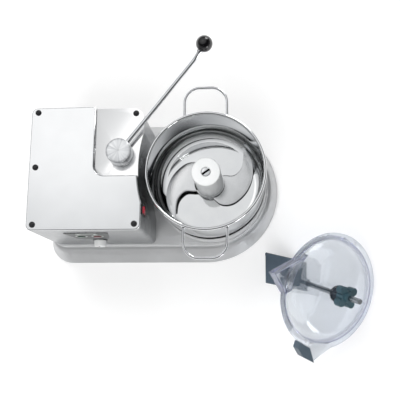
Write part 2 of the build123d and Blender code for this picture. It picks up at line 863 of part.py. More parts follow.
cover_ring = motor_radius - bell_draw
with BuildPart() as fan_cover:
    with Locations((motor_x, 0)):
        round_bar(cover_ring + fan_cover_wall, motor_top - end_bell / 2, motor_top + fan_cover_height)
        inner_top = motor_top + fan_cover_height - fan_cover_wall
        round_bar(cover_ring, motor_top - end_bell / 2, inner_top, Mode.SUBTRACT)
        with PolarLocations(fan_radius * 0.6, 12):
            with Locations((0, 0, motor_top + fan_cover_height)):
                Box(fan_radius / 2, vent_width, 4 * fan_cover_wall, mode=Mode.SUBTRACT)
keep("fan_cover", fan_cover)

# ---------------------------------------------------------------- controls
button_spots = [(start_x, button_level), (stop_x, button_level)]
with BuildPart() as front_panel:
    with BuildSketch(front_plane):
        with BuildLine():
            FilletPolyline(
                (panel_left, panel_top),
                (panel_right, panel_top),
                (panel_right - panel_taper, panel_bottom),
                (panel_left + panel_taper, panel_bottom),
                radius=6,
                close=True,
            )
        make_face()
        with Locations(button_spots):
            Circle(button_radius + button_gap, mode=Mode.SUBTRACT)
    extrude(amount=panel_thick)
keep("front_panel", front_panel)

button_face = panel_thick + button_proud
button_collar = 1.5
button_stem = 3
wall_back = -housing_wall
stem_end = wall_back - 9


def push_button(spot):
    """A round button with a collar behind the wall and a stem that pushes the switch."""
    with BuildPart() as button:
        with BuildSketch(front_plane.offset(wall_back - button_collar)):
            with Locations(spot):
                Circle(button_radius + 1)
        extrude(amount=button_collar - screw_gap)
        with BuildSketch(front_plane.offset(wall_back - button_collar)):
            with Locations(spot):
                Circle(button_radius)
        extrude(amount=button_collar - wall_back + button_face)
        fillet(button.faces().sort_by(Axis.Y)[0].edges(), 0.8)
        with BuildSketch(front_plane.offset(stem_end)):
            with Locations(spot):
                Circle(button_stem)
        extrude(amount=wall_back - button_collar - stem_end)
    return button


start_button = push_button(button_spots[0])
keep("start_button", start_button)
stop_button = push_button(button_spots[1])
keep("stop_button", stop_button)

switch_block = 24
switch_block_depth = 22
pocket = button_radius + 2
pocket_depth = 6
with BuildPart() as button_switches:
    with BuildSketch(front_plane.offset(wall_back)):
        with Locations(button_spots):
            Rectangle(switch_block, switch_block)
    extrude(amount=-switch_block_depth)
    with BuildSketch(front_plane.offset(wall_back)):
        with Locations(button_spots):
            Circle(pocket)
    extrude(amount=-pocket_depth, mode=Mode.SUBTRACT)
    with BuildSketch(front_plane.offset(wall_back)):
        with Locations(button_spots):
            Circle(button_stem + button_gap)
    extrude(amount=stem_end - wall_back - 4, mode=Mode.SUBTRACT)
keep("button_switches", button_switches)

knob_spot = (knob_x, knob_level)
dial_radius = knob_radius + bezel
with BuildPart() as speed_dial:
    with BuildSketch(front_plane):
        with Locations(knob_spot):
            Circle(dial_radius)
            Circle(pot_bush + screw_gap, mode=Mode.SUBTRACT)
    extrude(amount=dial_thick)
keep("speed_dial", speed_dial)

knob_foot = dial_thick + 0.4
with BuildPart() as speed_knob:
    with BuildSketch(front_plane.offset(knob_foot)):
        with Locations(knob_spot):
            Circle(knob_radius)
    extrude(amount=knob_length)
    fillet(speed_knob.faces().sort_by(Axis.Y)[0].edges(), 1.5)
    with BuildSketch(front_plane.offset(knob_foot + knob_length)):
        with Locations((knob_x, knob_level + knob_radius / 2)):
            Rectangle(1.6, knob_radius)
    extrude(amount=-0.8, mode=Mode.SUBTRACT)
    with BuildSketch(front_plane.offset(wall_back - pot_length + 2)):
        with Locations(knob_spot):
            Circle(knob_shaft)
    extrude(amount=pot_length - 2 - wall_back + knob_foot)
keep("speed_knob", speed_knob)

with BuildPart() as speed_potentiometer:
    with BuildSketch(front_plane.offset(wall_back)):
        with Locations(knob_spot):
            Circle(pot_radius)
    extrude(amount=-pot_length)
    with BuildSketch(front_plane.offset(wall_back)):
        with Locations(knob_spot):
            Circle(pot_bush)
    extrude(amount=dial_thick - wall_back)
    with BuildSketch(front_plane.offset(wall_back - pot_length)):
        with Locations(knob_spot):
            Circle(knob_shaft + running_gap)
    extrude(amount=pot_length - wall_back + dial_thick, mode=Mode.SUBTRACT)
keep("speed_potentiometer", speed_potentiometer)

rocker_spot = (switch_y, switch_level)
frame_lip = 2
frame_wall = 1.5
cavity_depth = 9
rocker_half = switch_height / 2 - frame_wall - rocker_gap
rocker_width = switch_width - 2 * (frame_wall + rocker_gap)
rocker_pin = 1.5
rocker_tilt = 8             # off position
rocker_plane = Plane(origin=(housing_right, switch_y, switch_level), x_dir=(1, 0, 0), z_dir=(0, -1, 0))
rocker_way = Vector(1, 0, 0).rotate(Axis.Y, rocker_tilt)
tipped_plane = Plane(origin=rocker_plane.origin, x_dir=rocker_way, z_dir=rocker_plane.z_dir)
with BuildPart() as power_switch_frame:
    with BuildSketch(side_plane):
        with Locations(rocker_spot):
            Rectangle(switch_width + 2 * frame_lip, switch_height + 2 * frame_lip)
    extrude(amount=frame_wall)
    with BuildSketch(side_plane):
        with Locations(rocker_spot):
            Rectangle(switch_width, switch_height)
    extrude(amount=-switch_depth)
    with BuildSketch(side_plane.offset(-cavity_depth)):
        with Locations(rocker_spot):
            Rectangle(switch_width - 2 * frame_wall, switch_height - 2 * frame_wall)
    extrude(amount=cavity_depth + frame_wall, mode=Mode.SUBTRACT)
    with BuildSketch(rocker_plane):
        Circle(rocker_pin)
    extrude(amount=switch_width / 2 - frame_wall / 2, both=True)
keep("power_switch_frame", power_switch_frame)

with BuildPart() as power_rocker:
    with BuildSketch(tipped_plane):
        with BuildLine():
            Polyline(
                (-5, -rocker_half), (4, -rocker_half), (2, 0), (4, rocker_half), (-5, rocker_half),
                close=True,
            )
        make_face()
        Circle(rocker_half, mode=Mode.INTERSECT)
        Circle(rocker_pin + running_gap, mode=Mode.SUBTRACT)
    extrude(amount=rocker_width / 2, both=True)
keep("power_rocker", power_rocker)

board_left = -327
board_width = 44
board_foot = 92
board_height = 104
board_thick = 1.6
standoff = 10
board_blocks = [((0, 30), (28, 30), 20), ((0, -34), (34, 22), 14), ((-9, -4), (14, 20), 11)]
board_plane = front_plane.offset(wall_back - standoff)
board_middle = (board_left + board_width / 2, board_foot + board_height / 2)
with BuildPart() as circuit_board:
    with BuildSketch(board_plane):
        with Locations(board_middle):
            Rectangle(board_width, board_height)
    extrude(amount=-board_thick)
    with BuildSketch(board_plane):
        with Locations(board_middle):
            with GridLocations(board_width - 8, board_height - 8, 2, 2):
                Circle(3)
    extrude(amount=standoff)
    for (across, up), (wide, high), deep in board_blocks:
        with BuildSketch(board_plane.offset(-board_thick)):
            with Locations((board_middle[0] + across, board_middle[1] + up)):
                Rectangle(wide, high)
        extrude(amount=-deep)
keep("circuit_board", circuit_board)

capacitor_spot = (-318, 98)
capacitor_radius = 16
capacitor_height = 86
with BuildPart() as motor_capacitor:
    with Locations(capacitor_spot):
        round_bar(capacitor_radius, deck_level, deck_level + capacitor_height)
        round_bar(capacitor_radius / 2, deck_level + capacitor_height, deck_level + capacitor_height + 6)
keep("motor_capacitor", motor_capacitor)

sensor_box = (12, 24, 30)
sensor_drop = 52            # cover down to the foot of the sensor
sensor_foot = cover_under - sensor_drop
bite_wall = housing_right - bite_depth - housing_wall
with BuildPart() as lid_sensor:
    with Locations((bite_wall - sensor_box[0] / 2, bite_middle, sensor_foot + sensor_box[2] / 2)):
        Box(*sensor_box)
    with BuildSketch(level(sensor_foot)):
        with Locations((housing_right - bite_depth + bite_radius, bite_middle)):
            Circle(bite_radius + housing_wall)
    extrude(amount=sensor_box[2], mode=Mode.SUBTRACT)
keep("lid_sensor", lid_sensor)

gland_spot = (-gland_x, gland_level)
gland_tail = 6              # thread behind the wall
with BuildPart() as cable_gland:
    with BuildSketch(back_plane):
        with Locations(gland_spot):
            RegularPolygon(gland_hex / 2, 6, major_radius=False)
    extrude(amount=6)
    with BuildSketch(back_plane.offset(-housing_wall - gland_tail)):
        with Locations(gland_spot):
            Circle(gland_radius)
    extrude(amount=housing_wall + gland_tail + gland_proud)
    fillet(cable_gland.faces().sort_by(Axis.Y)[-1].edges(), 4)
    with BuildSketch(back_plane.offset(gland_proud)):
        with Locations(gland_spot):
            Circle(gland_bore)
    extrude(amount=-housing_wall - gland_tail - gland_proud, mode=Mode.SUBTRACT)
keep("cable_gland", cable_gland)

# ---------------------------------------------------------------- lid and scraper
def lid_bar(radius, low, high, mode=Mode.ADD):
    """A cylinder about the lid's axis, between two heights above the rim's underside."""
    with BuildSketch(lid_plane.offset(low)) as disc:
        Circle(radius)
    extrude(disc.sketch, amount=high - low, mode=mode)


flange_inner = lid_radius - lid_flange
lid_boss_foot = lid_crown - lid_thick - 1
shoulder_top = lid_crown - 5


def beyond_rim(*spots):
    """Points of the lid's plane, each from its distance beyond the rim and its angle."""
    return [polar(lid_radius + out, angle) for out, angle in spots]


chute = beyond_rim((-13, 158.2), (41.5, 190), (2.4, 204.4), (-34, 191.9))
ear = beyond_rim((-7, -88.6), (29, -75.4), (-2.2, -53.9))
magnet_block = beyond_rim((-0.4, -99.2), (14, -97), (24, -88.5), (29, -75.4), (-7, -88.6))
with BuildPart() as lid:
    with BuildSketch(lid_section):
        with BuildLine():
            Line((lid_radius, 0), (lid_radius, lid_thick))
            Line((lid_radius, lid_thick), (flange_inner + 1, lid_thick))
            shoulder_foot, shoulder_waist = (flange_inner + 1, lid_thick), (flange_inner - 10, 17)
            ThreePointArc(shoulder_foot, shoulder_waist, (lid_shoulder, shoulder_top))
            ThreePointArc((lid_shoulder, shoulder_top), (lid_shoulder / 2, lid_crown - 1.3), (0, lid_crown))
            Line((0, lid_crown), (0, lid_crown - lid_thick))
            ThreePointArc((0, lid_crown - lid_thick), (lid_shoulder / 2, lid_crown - 1.3 - lid_thick),
                          (lid_shoulder - 1, shoulder_top - lid_thick))
            ThreePointArc((lid_shoulder - 1, shoulder_top - lid_thick), (flange_inner - 13.5, 13.5),
                          (flange_inner - spigot_wall, 0))
            Line((flange_inner - spigot_wall, 0), (flange_inner - spigot_wall, -spigot_depth))
            Line((flange_inner - spigot_wall, -spigot_depth), (flange_inner, -spigot_depth))
            Line((flange_inner, -spigot_depth), (flange_inner, 0))
            Line((flange_inner, 0), (lid_radius, 0))
        make_face()
    revolve(axis=lid_axis)
    lid_bar(lid_boss_radius, lid_boss_foot, lid_boss_top)
    lid_bar(lid_bush_radius, lid_boss_foot, lid_boss_top, Mode.SUBTRACT)
    with BuildSketch(lid_plane):
        Polygon(*ear, align=None)
        Circle(flange_inner + 1, mode=Mode.SUBTRACT)
    extrude(amount=ear_thick)
    with BuildSketch(lid_plane):
        Polygon(*chute, align=None)
        Circle(flange_inner + 1, mode=Mode.SUBTRACT)
    extrude(amount=chute_wall)
    with BuildSketch(lid_plane):
        Polygon(*chute, align=None)
        Circle(flange_inner + 1, mode=Mode.SUBTRACT)
        offset(amount=-chute_wall, mode=Mode.SUBTRACT)
    extrude(amount=chute_height)
keep("lid", lid)

with BuildPart() as lid_magnet_block:
    with BuildSketch(lid_plane.offset(block_low)):
        Polygon(*magnet_block, align=None)
        Circle(lid_radius, mode=Mode.SUBTRACT)
    extrude(amount=block_high - block_low)
keep("lid_magnet_block", lid_magnet_block)

bush_low = lid_boss_foot - 4
with BuildPart() as lid_bush:
    lid_bar(lid_boss_radius, bush_low, lid_boss_foot)
    lid_bar(lid_bush_radius, bush_low, lid_boss_top)
    lid_bar(scraper_sleeve + running_gap, bush_low, lid_boss_top, Mode.SUBTRACT)
keep("lid_bush", lid_bush)

collar_radius = 14
collar_gap = 0.4
with BuildPart() as scraper_knob:
    lid_bar(scraper_sleeve, bush_low, lid_boss_top + collar_gap)
    lid_bar(collar_radius, lid_boss_top + collar_gap, star_level)
    with BuildSketch(lid_plane.offset(star_level)):
        Circle(collar_radius)
        with PolarLocations(star_reach - star_lobe, 4, start_angle=star_turn):
            Circle(star_lobe)
    extrude(amount=star_height)
    lid_bar(collar_radius - 3, star_level + star_height, star_level + star_height + 6)
    lid_bar(scraper_rod_radius + running_gap, bush_low, star_level + star_height + 6, Mode.SUBTRACT)
keep("scraper_knob", scraper_knob)

with BuildPart() as scraper_rod:
    lid_bar(scraper_rod_radius, scraper_rod_foot, scraper_rod_top)
    chamfer(scraper_rod.edges().filter_by(GeomType.CIRCLE), 0.6)
keep("scraper_rod", scraper_rod)

paddle_boss = 10
paddle_boss_end = 4         # past the foot of the rod
paddle_boss_grip = 14       # along the rod above its foot
paddle_way = lid_plane.x_dir.rotate(Axis((0, 0, 0), lid_normal), paddle_turn)
paddle_start = lid_centre + paddle_way * paddle_inner
paddle_plane = Plane(origin=paddle_start, x_dir=lid_normal.cross(paddle_way), z_dir=paddle_way)
with BuildPart() as scraper_paddle:
    with BuildSketch(paddle_plane):
        with BuildLine():
            Polyline(paddle_low, paddle_high)
        trace(line_width=paddle_thick)
        with Locations(paddle_low):
            Circle(paddle_lip)
    extrude(amount=-paddle_inner - paddle_outer)
    lid_bar(paddle_boss, scraper_rod_foot - paddle_boss_end, scraper_rod_foot + paddle_boss_grip)
    lid_bar(scraper_rod_radius, scraper_rod_foot, scraper_rod_top, Mode.SUBTRACT)
keep("scraper_paddle", scraper_paddle)
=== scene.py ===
# %% [markdown]
# # A small bowl cutter
# A bowl cutter chops meat with curved blades that spin close to the floor of a steel bowl. The
# machine was drawn as solids first, and those solids fix every size here. This lesson gives them
# their looks: it reads the solids, makes finer pieces where the eye can see the difference, and
# adds materials, light and a camera.

from math import atan2, cos, hypot, pi, radians, sin, sqrt

import bmesh
import bpy
from mathutils import Matrix, Vector
from mathutils.geometry import interpolate_bezier
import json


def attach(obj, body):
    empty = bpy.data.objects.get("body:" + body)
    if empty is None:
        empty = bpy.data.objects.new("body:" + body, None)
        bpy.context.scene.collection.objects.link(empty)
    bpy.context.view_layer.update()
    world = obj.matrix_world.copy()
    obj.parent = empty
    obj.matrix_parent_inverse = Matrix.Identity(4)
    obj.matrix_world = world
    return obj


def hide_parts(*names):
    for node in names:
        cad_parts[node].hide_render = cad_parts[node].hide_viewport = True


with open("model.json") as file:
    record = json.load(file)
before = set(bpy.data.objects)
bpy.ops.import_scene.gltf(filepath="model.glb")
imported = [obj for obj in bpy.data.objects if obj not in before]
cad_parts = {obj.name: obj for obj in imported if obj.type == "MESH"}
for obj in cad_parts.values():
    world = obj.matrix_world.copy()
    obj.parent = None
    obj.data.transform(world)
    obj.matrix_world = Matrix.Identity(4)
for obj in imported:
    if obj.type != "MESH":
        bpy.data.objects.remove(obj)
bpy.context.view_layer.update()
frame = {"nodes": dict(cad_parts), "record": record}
MM = 0.001

# %% [markdown]
# ## The camera
# The machine is seen from high above and a little to the front, as on a page of a catalogue. A
# lens of 58.5 mm on a 36 mm sensor, one and a half metres up, keeps the upright walls nearly
# parallel while the inside of the bowl stays in view. The camera has no shift and no blur, so it
# can move round the machine.

# %% Place the camera
lens = bpy.data.cameras.new("lens")
lens.lens = 58.5
lens.sensor_width = 36
camera = bpy.data.objects.new("camera", lens)
camera.location = (0.108, -0.326, 1.5)
camera.rotation_euler = (radians(11.75), radians(5.25), radians(0.35))
bpy.context.scene.collection.objects.link(camera)
bpy.context.scene.camera = camera
bpy.context.scene.view_settings.view_transform = "Standard"
print("camera height:", camera.location.z)

# %% [markdown]
# ## Adding shader nodes
# A material is a small network. One helper adds a node, sets its options, and either types a
# value into a socket or joins it to another node. A second turns the hex colour of a paint card,
# which is in sRGB, into the linear numbers that the renderer works with. A third starts every
# finish, and the last turns a size in millimetres into the scale of a noise.

# %% Helpers for materials
def linear(code):
    """The linear colour of an sRGB hex code."""
    parts = [int(code[i:i + 2], 16) / 255 for i in (1, 3, 5)]
    return [c / 12.92 if c <= 0.04045 else ((c + 0.055) / 1.055) ** 2.4 for c in parts] + [1.0]


def add(tree, kind, options=None, sockets=None):
    """Adds one shader node: its settings, and the values or outputs that feed its sockets."""
    node = tree.nodes.new("ShaderNode" + kind)
    for name, value in (options or {}).items():
        setattr(node, name, value)
    for name, value in (sockets or {}).items():
        if isinstance(value, bpy.types.NodeSocket):
            tree.links.new(value, node.inputs[name])
        else:
            node.inputs[name].default_value = value
    return node


def new_finish(name, colour, metallic, roughness):
    """An empty finish: a material, its tree, its shader and the piece's own coordinates."""
    material = bpy.data.materials.new(name)
    material.use_nodes = True
    tree = material.node_tree
    tree.nodes.clear()
    out = add(tree, "OutputMaterial")
    shader = add(tree, "BsdfPrincipled", None, {
        "Base Color": linear(colour), "Metallic": metallic, "Roughness": roughness})
    tree.links.new(shader.outputs[0], out.inputs[0])
    place = add(tree, "TexCoord").outputs["Object"]
    return material, tree, shader, place


def per(millimetres):
    """The noise scale that gives features of a size in millimetres."""
    return 1 / (millimetres * MM)


WHITE = linear("#FFFFFF")
print("white card:", [round(c, 2) for c in WHITE])

# %% [markdown]
# ## Grain
# No real surface is one flat value. Two things vary on nearly all of them: how rough the surface
# is, from hand to hand, over a few centimetres, and its small relief, over a millimetre or less.
# This helper gives both to a finish. The stretch says how much longer the grain is along X, Y and
# Z, which turns round grit into the lines of a brushing belt.

# %% Grain for a finish
HAND_PATCH = 45    # mm, about the width of a palm or of a polishing pad


def worn(tree, shader, fine, relief, pattern, ends, rough, spread):
    """A fine pattern's relief in mm, and a roughness that drifts as a pattern runs to its ends."""
    bump = add(tree, "Bump", None, {"Strength": 1.0, "Distance": relief * MM, "Height": fine})
    tree.links.new(bump.outputs[0], shader.inputs["Normal"])
    drift = add(tree, "MapRange", None, {
        "Value": pattern, "From Min": ends[0], "From Max": ends[1],
        "To Min": rough - spread, "To Max": rough + spread})
    tree.links.new(drift.outputs[0], shader.inputs["Roughness"])


def grain(tree, shader, place, size, relief, rough, spread, stretch=(1, 1, 1)):
    """Adds relief of a size in mm and a drifting roughness, and gives back the broad pattern."""
    lines = add(tree, "Mapping", None, {
        "Vector": place, "Scale": [1 / s for s in stretch]}).outputs[0]
    fine = add(tree, "TexNoise", None, {
        "Vector": lines, "Scale": per(size), "Detail": 3.0}).outputs["Fac"]
    broad = add(tree, "TexNoise", None, {
        "Vector": place, "Scale": per(HAND_PATCH), "Detail": 2.0}).outputs["Fac"]
    mixed = add(tree, "Math", {"operation": "ADD"}, {0: fine, 1: broad}).outputs[0]
    worn(tree, shader, fine, relief, mixed, (0.6, 1.4), rough, spread)
    return broad


def shade(tree, shader, fac, dark, light, first=0.35, second=0.65):
    """Runs a finish between two hex codes as a pattern runs between two values."""
    ramp = add(tree, "ValToRGB", None, {"Fac": fac})
    for end, position, code in zip(ramp.color_ramp.elements, (first, second), (dark, light)):
        end.position = position
        end.color = linear(code)
    tree.links.new(ramp.outputs[0], shader.inputs["Base Color"])
    return ramp.outputs[0]


print("patches of", HAND_PATCH, "mm")

# %% [markdown]
# ## The metals
# The cover and the housing are stainless sheet rubbed with a belt, the cover along its length and
# the walls from top to bottom; the walls are drawn much darker than the cover, as painted shade.
# The blades are ground, the wires and the bar are drawn and polished, and the parts inside are
# cast or plated. A near black steel in a screw's slot is painted shade. To the shader all are pure
# metals with the default IOR, and they differ in roughness and in grain.
#
# Real belt lines and blasting pits are about a tenth of a millimetre across, too fine to show
# from this far, so each grain is drawn five to ten times as coarse, with a relief as shallow as
# it needs.

# %% Metal finishes
def metal(name, dark, light, rough, spread, size, relief, stretch=(1, 1, 1)):
    """A bare metal whose colour and roughness drift a little."""
    material, tree, shader, place = new_finish(name, light, 1.0, rough)
    broad = grain(tree, shader, place, size, relief, rough, spread, stretch)
    shade(tree, shader, broad, dark, light)
    return material


# Blasted with fine beads: an even grey with wide, soft highlights.
blasted_aluminium = metal("blasted_aluminium", "#C9CACB", "#D2D3D4", 0.42, 0.04, 0.9, 0.03)
# Belt lines along X: bright, with reflections that smear across the lines.
brushed_sheet = metal("brushed_stainless_sheet", "#E4E5E6", "#E8E9EA", 0.16, 0.02, 0.5, 0.003,
                      (60, 1, 1))
# Belt lines from top to bottom, deeper and duller; the colour is painted shade for upright walls.
brushed_wall_painted_shade = metal("brushed_stainless_wall_painted_shade", "#939597", "#999B9D", 0.26, 0.03, 0.5, 0.008,
                     (1, 1, 60))
# Ground flat across the blade: bright, with a faint bloom.
ground_steel = metal("ground_blade_steel", "#D9DADB", "#E6E7E8", 0.2, 0.05, 0.6, 0.008, (1, 30, 1))
# Drawn and buffed wire: nearly a mirror, a thin bright line with dark edges.
polished_wire = metal("polished_steel_wire", "#DCDDDF", "#E4E5E7", 0.09, 0.03, 1.0, 0.004)
# Centreless-ground bar: darker than the wire, with lines along it.
ground_bar = metal("ground_steel_bar", "#A4A7AB", "#B0B3B7", 0.12, 0.03, 0.6, 0.004, (1, 1, 20))
# Zinc plating: a dull blue grey in soft patches.
dull_steel = metal("zinc_plated_steel", "#9FA3A8", "#B4B7BB", 0.36, 0.08, 1.2, 0.02)
# Machined grey iron: dark and matt.
dark_iron = metal("machined_cast_iron", "#4A4C4F", "#5A5C5F", 0.48, 0.08, 0.8, 0.04)
# Nearly black steel: painted shade down in the screw's slot.
slot_painted_shade = metal("slot_painted_shade_steel", "#161718", "#1E1F20", 0.5, 0.06, 0.8, 0.02)
# Sintered bronze: a dull warm brown.
bearing_bronze = metal("bearing_bronze", "#A8814A", "#C09A5C", 0.32, 0.06, 0.8, 0.02)
print("metals:", len(bpy.data.materials))

# %% [markdown]
# ## Painted light in the pressed recess
# One corner of the cover is pressed down. Its sunk part is drawn a little whiter than the
# belt-rubbed top: painted light. The height of a point tells the two apart.

# %% Paint light into the recess
painted_light_full_below, painted_light_none_above = 248, 256
tree = brushed_sheet.node_tree
sheet_colour = tree.nodes["Principled BSDF"].inputs["Base Color"]
point_height = add(tree, "SeparateXYZ", None, {
    0: add(tree, "TexCoord").outputs["Object"]}).outputs["Z"]
# Painted light: below these heights the sheet's colour runs to near white.
recess_mask_for_painted_light = add(tree, "MapRange", None, {
    "Value": point_height, "From Min": painted_light_full_below * MM, "From Max": painted_light_none_above * MM,
    "To Min": 1.0, "To Max": 0.0}).outputs[0]
# Sockets 6 and 7 of this node are its two colours, and its output 2 is the mixed one.
recess_painted_light_colour = add(tree, "Mix", {"data_type": "RGBA"}, {
    "Factor": recess_mask_for_painted_light, 6: sheet_colour.links[0].from_socket, 7: linear("#FAFAFA")})
tree.links.new(recess_painted_light_colour.outputs[2], sheet_colour)
print("whiter below", painted_light_none_above, "mm")

# %% [markdown]
# ## The plastics and paints
# The black caps and the cable gland are moulded polyamide with a fine spark-eroded grain, the
# ball is phenolic resin polished in a drum, the blade hub is white acetal, and the lid's grips
# are a slate blue polypropylene. Moulded plastic is dull where the mould was eroded and glossy
# where it was polished. The base is cast aluminium under silver lacquer. Lacquer holds flakes of
# metal in a clear film, so it is a plastic that is partly a metal to the shader.
#
# The grains are drawn coarser than real ones here too: an eroded mould's pits are about 0.05 mm.

# %% Plastic finishes
def plastic(name, dark, light, rough, spread, size, relief, coat=0.0, metallic=0.0):
    """A moulded plastic or a paint, with a clear gloss where it was polished."""
    material, tree, shader, place = new_finish(name, light, metallic, rough)
    shader.inputs["IOR"].default_value = 1.5
    shader.inputs["Coat Weight"].default_value = coat
    shader.inputs["Coat Roughness"].default_value = 0.04
    broad = grain(tree, shader, place, size, relief, rough, spread)
    shade(tree, shader, broad, dark, light)
    return material


# Spark-eroded: dead matt black that stays dark under the lamps.
eroded_black = plastic("eroded_black_polyamide", "#17181A", "#202123", 0.5, 0.06, 0.7, 0.05)
# Drum-polished in faint waves of about 6 mm: deep black with one small sharp gleam.
phenolic_black = plastic("polished_phenolic_resin", "#0B0B0D", "#111113", 0.16, 0.03, 6.0, 0.004,
                         0.6)
# Turned from bar: warm white with a soft sheen.
white_acetal = plastic("turned_white_acetal", "#EAECEC", "#F1F2F2", 0.36, 0.06, 0.8, 0.015)
# Waxy mouldings: blue grey, and teal for the knob.
slate_plastic = plastic("slate_blue_polypropylene", "#43525F", "#50606D", 0.4, 0.06, 0.8, 0.02)
teal_plastic = plastic("teal_grey_polyamide", "#35505A", "#3F5C66", 0.42, 0.06, 0.8, 0.03)
bush_plastic = plastic("dark_acetal_bush", "#2A3138", "#353D45", 0.35, 0.05, 0.8, 0.01)
# Rubber takes the light in: black, with hardly a highlight.
soft_rubber = plastic("nitrile_rubber", "#131314", "#1B1B1C", 0.7, 0.08, 0.6, 0.05)
# Smooth mouldings that a finger touches: clear colours with a small gloss.
rocker_plastic = plastic("red_switch_plastic", "#A92A3A", "#BC3345", 0.3, 0.05, 1.2, 0.01)
start_plastic = plastic("green_button_plastic", "#34483D", "#3D5347", 0.3, 0.05, 1.2, 0.01, 0.2)
stop_plastic = plastic("red_button_plastic", "#5E3638", "#693E40", 0.3, 0.05, 1.2, 0.01, 0.2)
# Hammer paint dries in shallow dimples of 2 or 3 mm, which break up a highlight.
motor_paint = plastic("slate_hammer_paint", "#2B3540", "#36424E", 0.38, 0.06, 2.5, 0.12)
# Glass fibre in resin: a dull green.
board_resin = plastic("green_board_resin", "#145233", "#1B6340", 0.4, 0.06, 1.5, 0.02)
# Flakes in lacquer: a pale grey with a wide sheen and no clear reflection.
silver_lacquer = plastic("silver_lacquer_on_cast_aluminium", "#D2D3D4", "#D8D9DA", 0.4, 0.04, 1.0,
                         0.03, metallic=0.45)
# A satin coat over turned aluminium: near white, and too soft to mirror the floor.
satin_lacquer = plastic("satin_lacquer_on_aluminium", "#F0F1F1", "#F4F5F5", 0.36, 0.03, 1.0, 0.02)
print("finishes so far:", len(bpy.data.materials))

# %% [markdown]
# ## Dressing the solids
# Every solid gets its finish here, also those inside the housing, because the housing can be
# hidden or cut open later. A finer piece replaces some of them further down, and brings a finish
# with it.

# %% Give each solid its finish
worn_by = [
    (silver_lacquer, "base_casting"),
    (brushed_wall_painted_shade, "housing_shell"),
    (brushed_sheet, "top_cover"),
    (dull_steel, "base_plate base_screws housing_bolts cover_screws pivot_tower post_ring "
                 "spindle_bolts motor_plate motor_bolts speed_potentiometer"),
    (soft_rubber, "feet bowl_seat_ring shaft_seal drive_belt"),
    (eroded_black, "screw_caps lever_sensor motor_fan front_panel button_switches speed_dial "
                   "power_switch_frame lid_sensor cable_gland"),
    (polished_wire, "pivot_post lever_rod bowl bowl_handles hub_screw spindle_bearings spindle "
                    "motor_shaft"),
    (blasted_aluminium, "pivot_cap motor_pulley spindle_pulley speed_knob motor_capacitor"),
    (bearing_bronze, "pivot_bush"),
    (dark_iron, "lever_magnet spindle_housing"),
    (phenolic_black, "lever_ball"),
    (white_acetal, "blade_hub blade_spacer blade_nut"),
    (ground_steel, "lower_blade upper_blade"),
    (motor_paint, "motor_body fan_cover"),
    (board_resin, "circuit_board"),
    (start_plastic, "start_button"),
    (stop_plastic, "stop_button"),
    (rocker_plastic, "power_rocker"),
    (slate_plastic, "lid lid_magnet_block scraper_paddle"),
    (bush_plastic, "lid_bush"),
    (teal_plastic, "scraper_knob"),
    (ground_bar, "scraper_rod"),
]
for finish, nodes in worn_by:
    for node in nodes.split():
        solid = frame["nodes"][node]
        solid.data.materials.clear()
        solid.data.materials.append(finish)
print("dressed:", sum(len(nodes.split()) for finish, nodes in worn_by), "of", len(frame["nodes"]))

# %% [markdown]
# ## Turning on a lathe
# The rest of the lesson makes finer pieces in place of some solids. A lathe makes any piece whose
# outline is one line spun round an axis, so the first helper spins a profile, and the second
# rounds its corners as a round-nosed tool does. The spin also lays a UV map round the piece for
# its lathe grooves.

# %% Spin a profile
def turned(profile, steps=96):
    """Spins (radius, height) points in mm once round Z, with UV running round and along."""
    bm = bmesh.new()
    points = [bm.verts.new((r * MM, 0, h * MM)) for r, h in profile]
    edges = [bm.edges.new(pair) for pair in zip(points, points[1:])]
    bmesh.ops.spin(bm, geom=points + edges, axis=(0, 0, 1), cent=(0, 0, 0), angle=2 * pi,
                   steps=steps, use_merge=True)
    bmesh.ops.remove_doubles(bm, verts=bm.verts, dist=0.000001)
    around = bm.loops.layers.uv.new("around")
    for face in bm.faces:
        middle = face.calc_center_median()
        for loop in face.loops:
            spot = loop.vert.co
            share = 0.0
            if hypot(spot.x, spot.y) > 0.00001:
                share = atan2(middle.x * spot.y - middle.y * spot.x,
                              middle.x * spot.x + middle.y * spot.y)
            turn = (atan2(middle.y, middle.x) + share) / (2 * pi)
            loop[around].uv = (turn, hypot(spot.x, spot.y) + spot.z)
    return bm


def rounded(profile, radius, steps=4):
    """Rounds the inner corners of a profile with arcs, of one radius or of one each."""
    line = [Vector(profile[0])]
    radii = radius if isinstance(radius, list) else [radius] * (len(profile) - 2)
    for before, corner, after, wanted in zip(profile, profile[1:], profile[2:], radii):
        corner = Vector(corner)
        back, on = Vector(before) - corner, Vector(after) - corner
        # This weight makes the curve through the three points a true arc of a circle.
        pull = sqrt((1 - back.normalized() @ on.normalized()) / 2)
        # Two arcs on one short side may each take a little less than half of it.
        reach = min(wanted, back.length / 2.01, on.length / 2.01)
        start, end = corner + back.normalized() * reach, corner + on.normalized() * reach
        for i in range(steps + 1):
            t = i / steps
            shares = (1 - t) ** 2, 2 * pull * t * (1 - t), t ** 2
            line.append((start * shares[0] + corner * shares[1] + end * shares[2]) / sum(shares))
    return line + [Vector(profile[-1])]


print("a rounded corner has", len(rounded([(0, 0), (9, 0), (9, 9)], 2)) - 2, "points")

# %% [markdown]
# ## Cutting plate
# Marks, pointers and plates are cut from flat stock and deburred. These helpers cut a plate with
# rounded corners, round every sharp edge of a shape, and move or copy a shape to its places.

# %% Cut plates, round edges and set places
def corners_in(made):
    """The vertices among the parts that an operator gives back."""
    return [part for part in made if isinstance(part, bmesh.types.BMVert)]


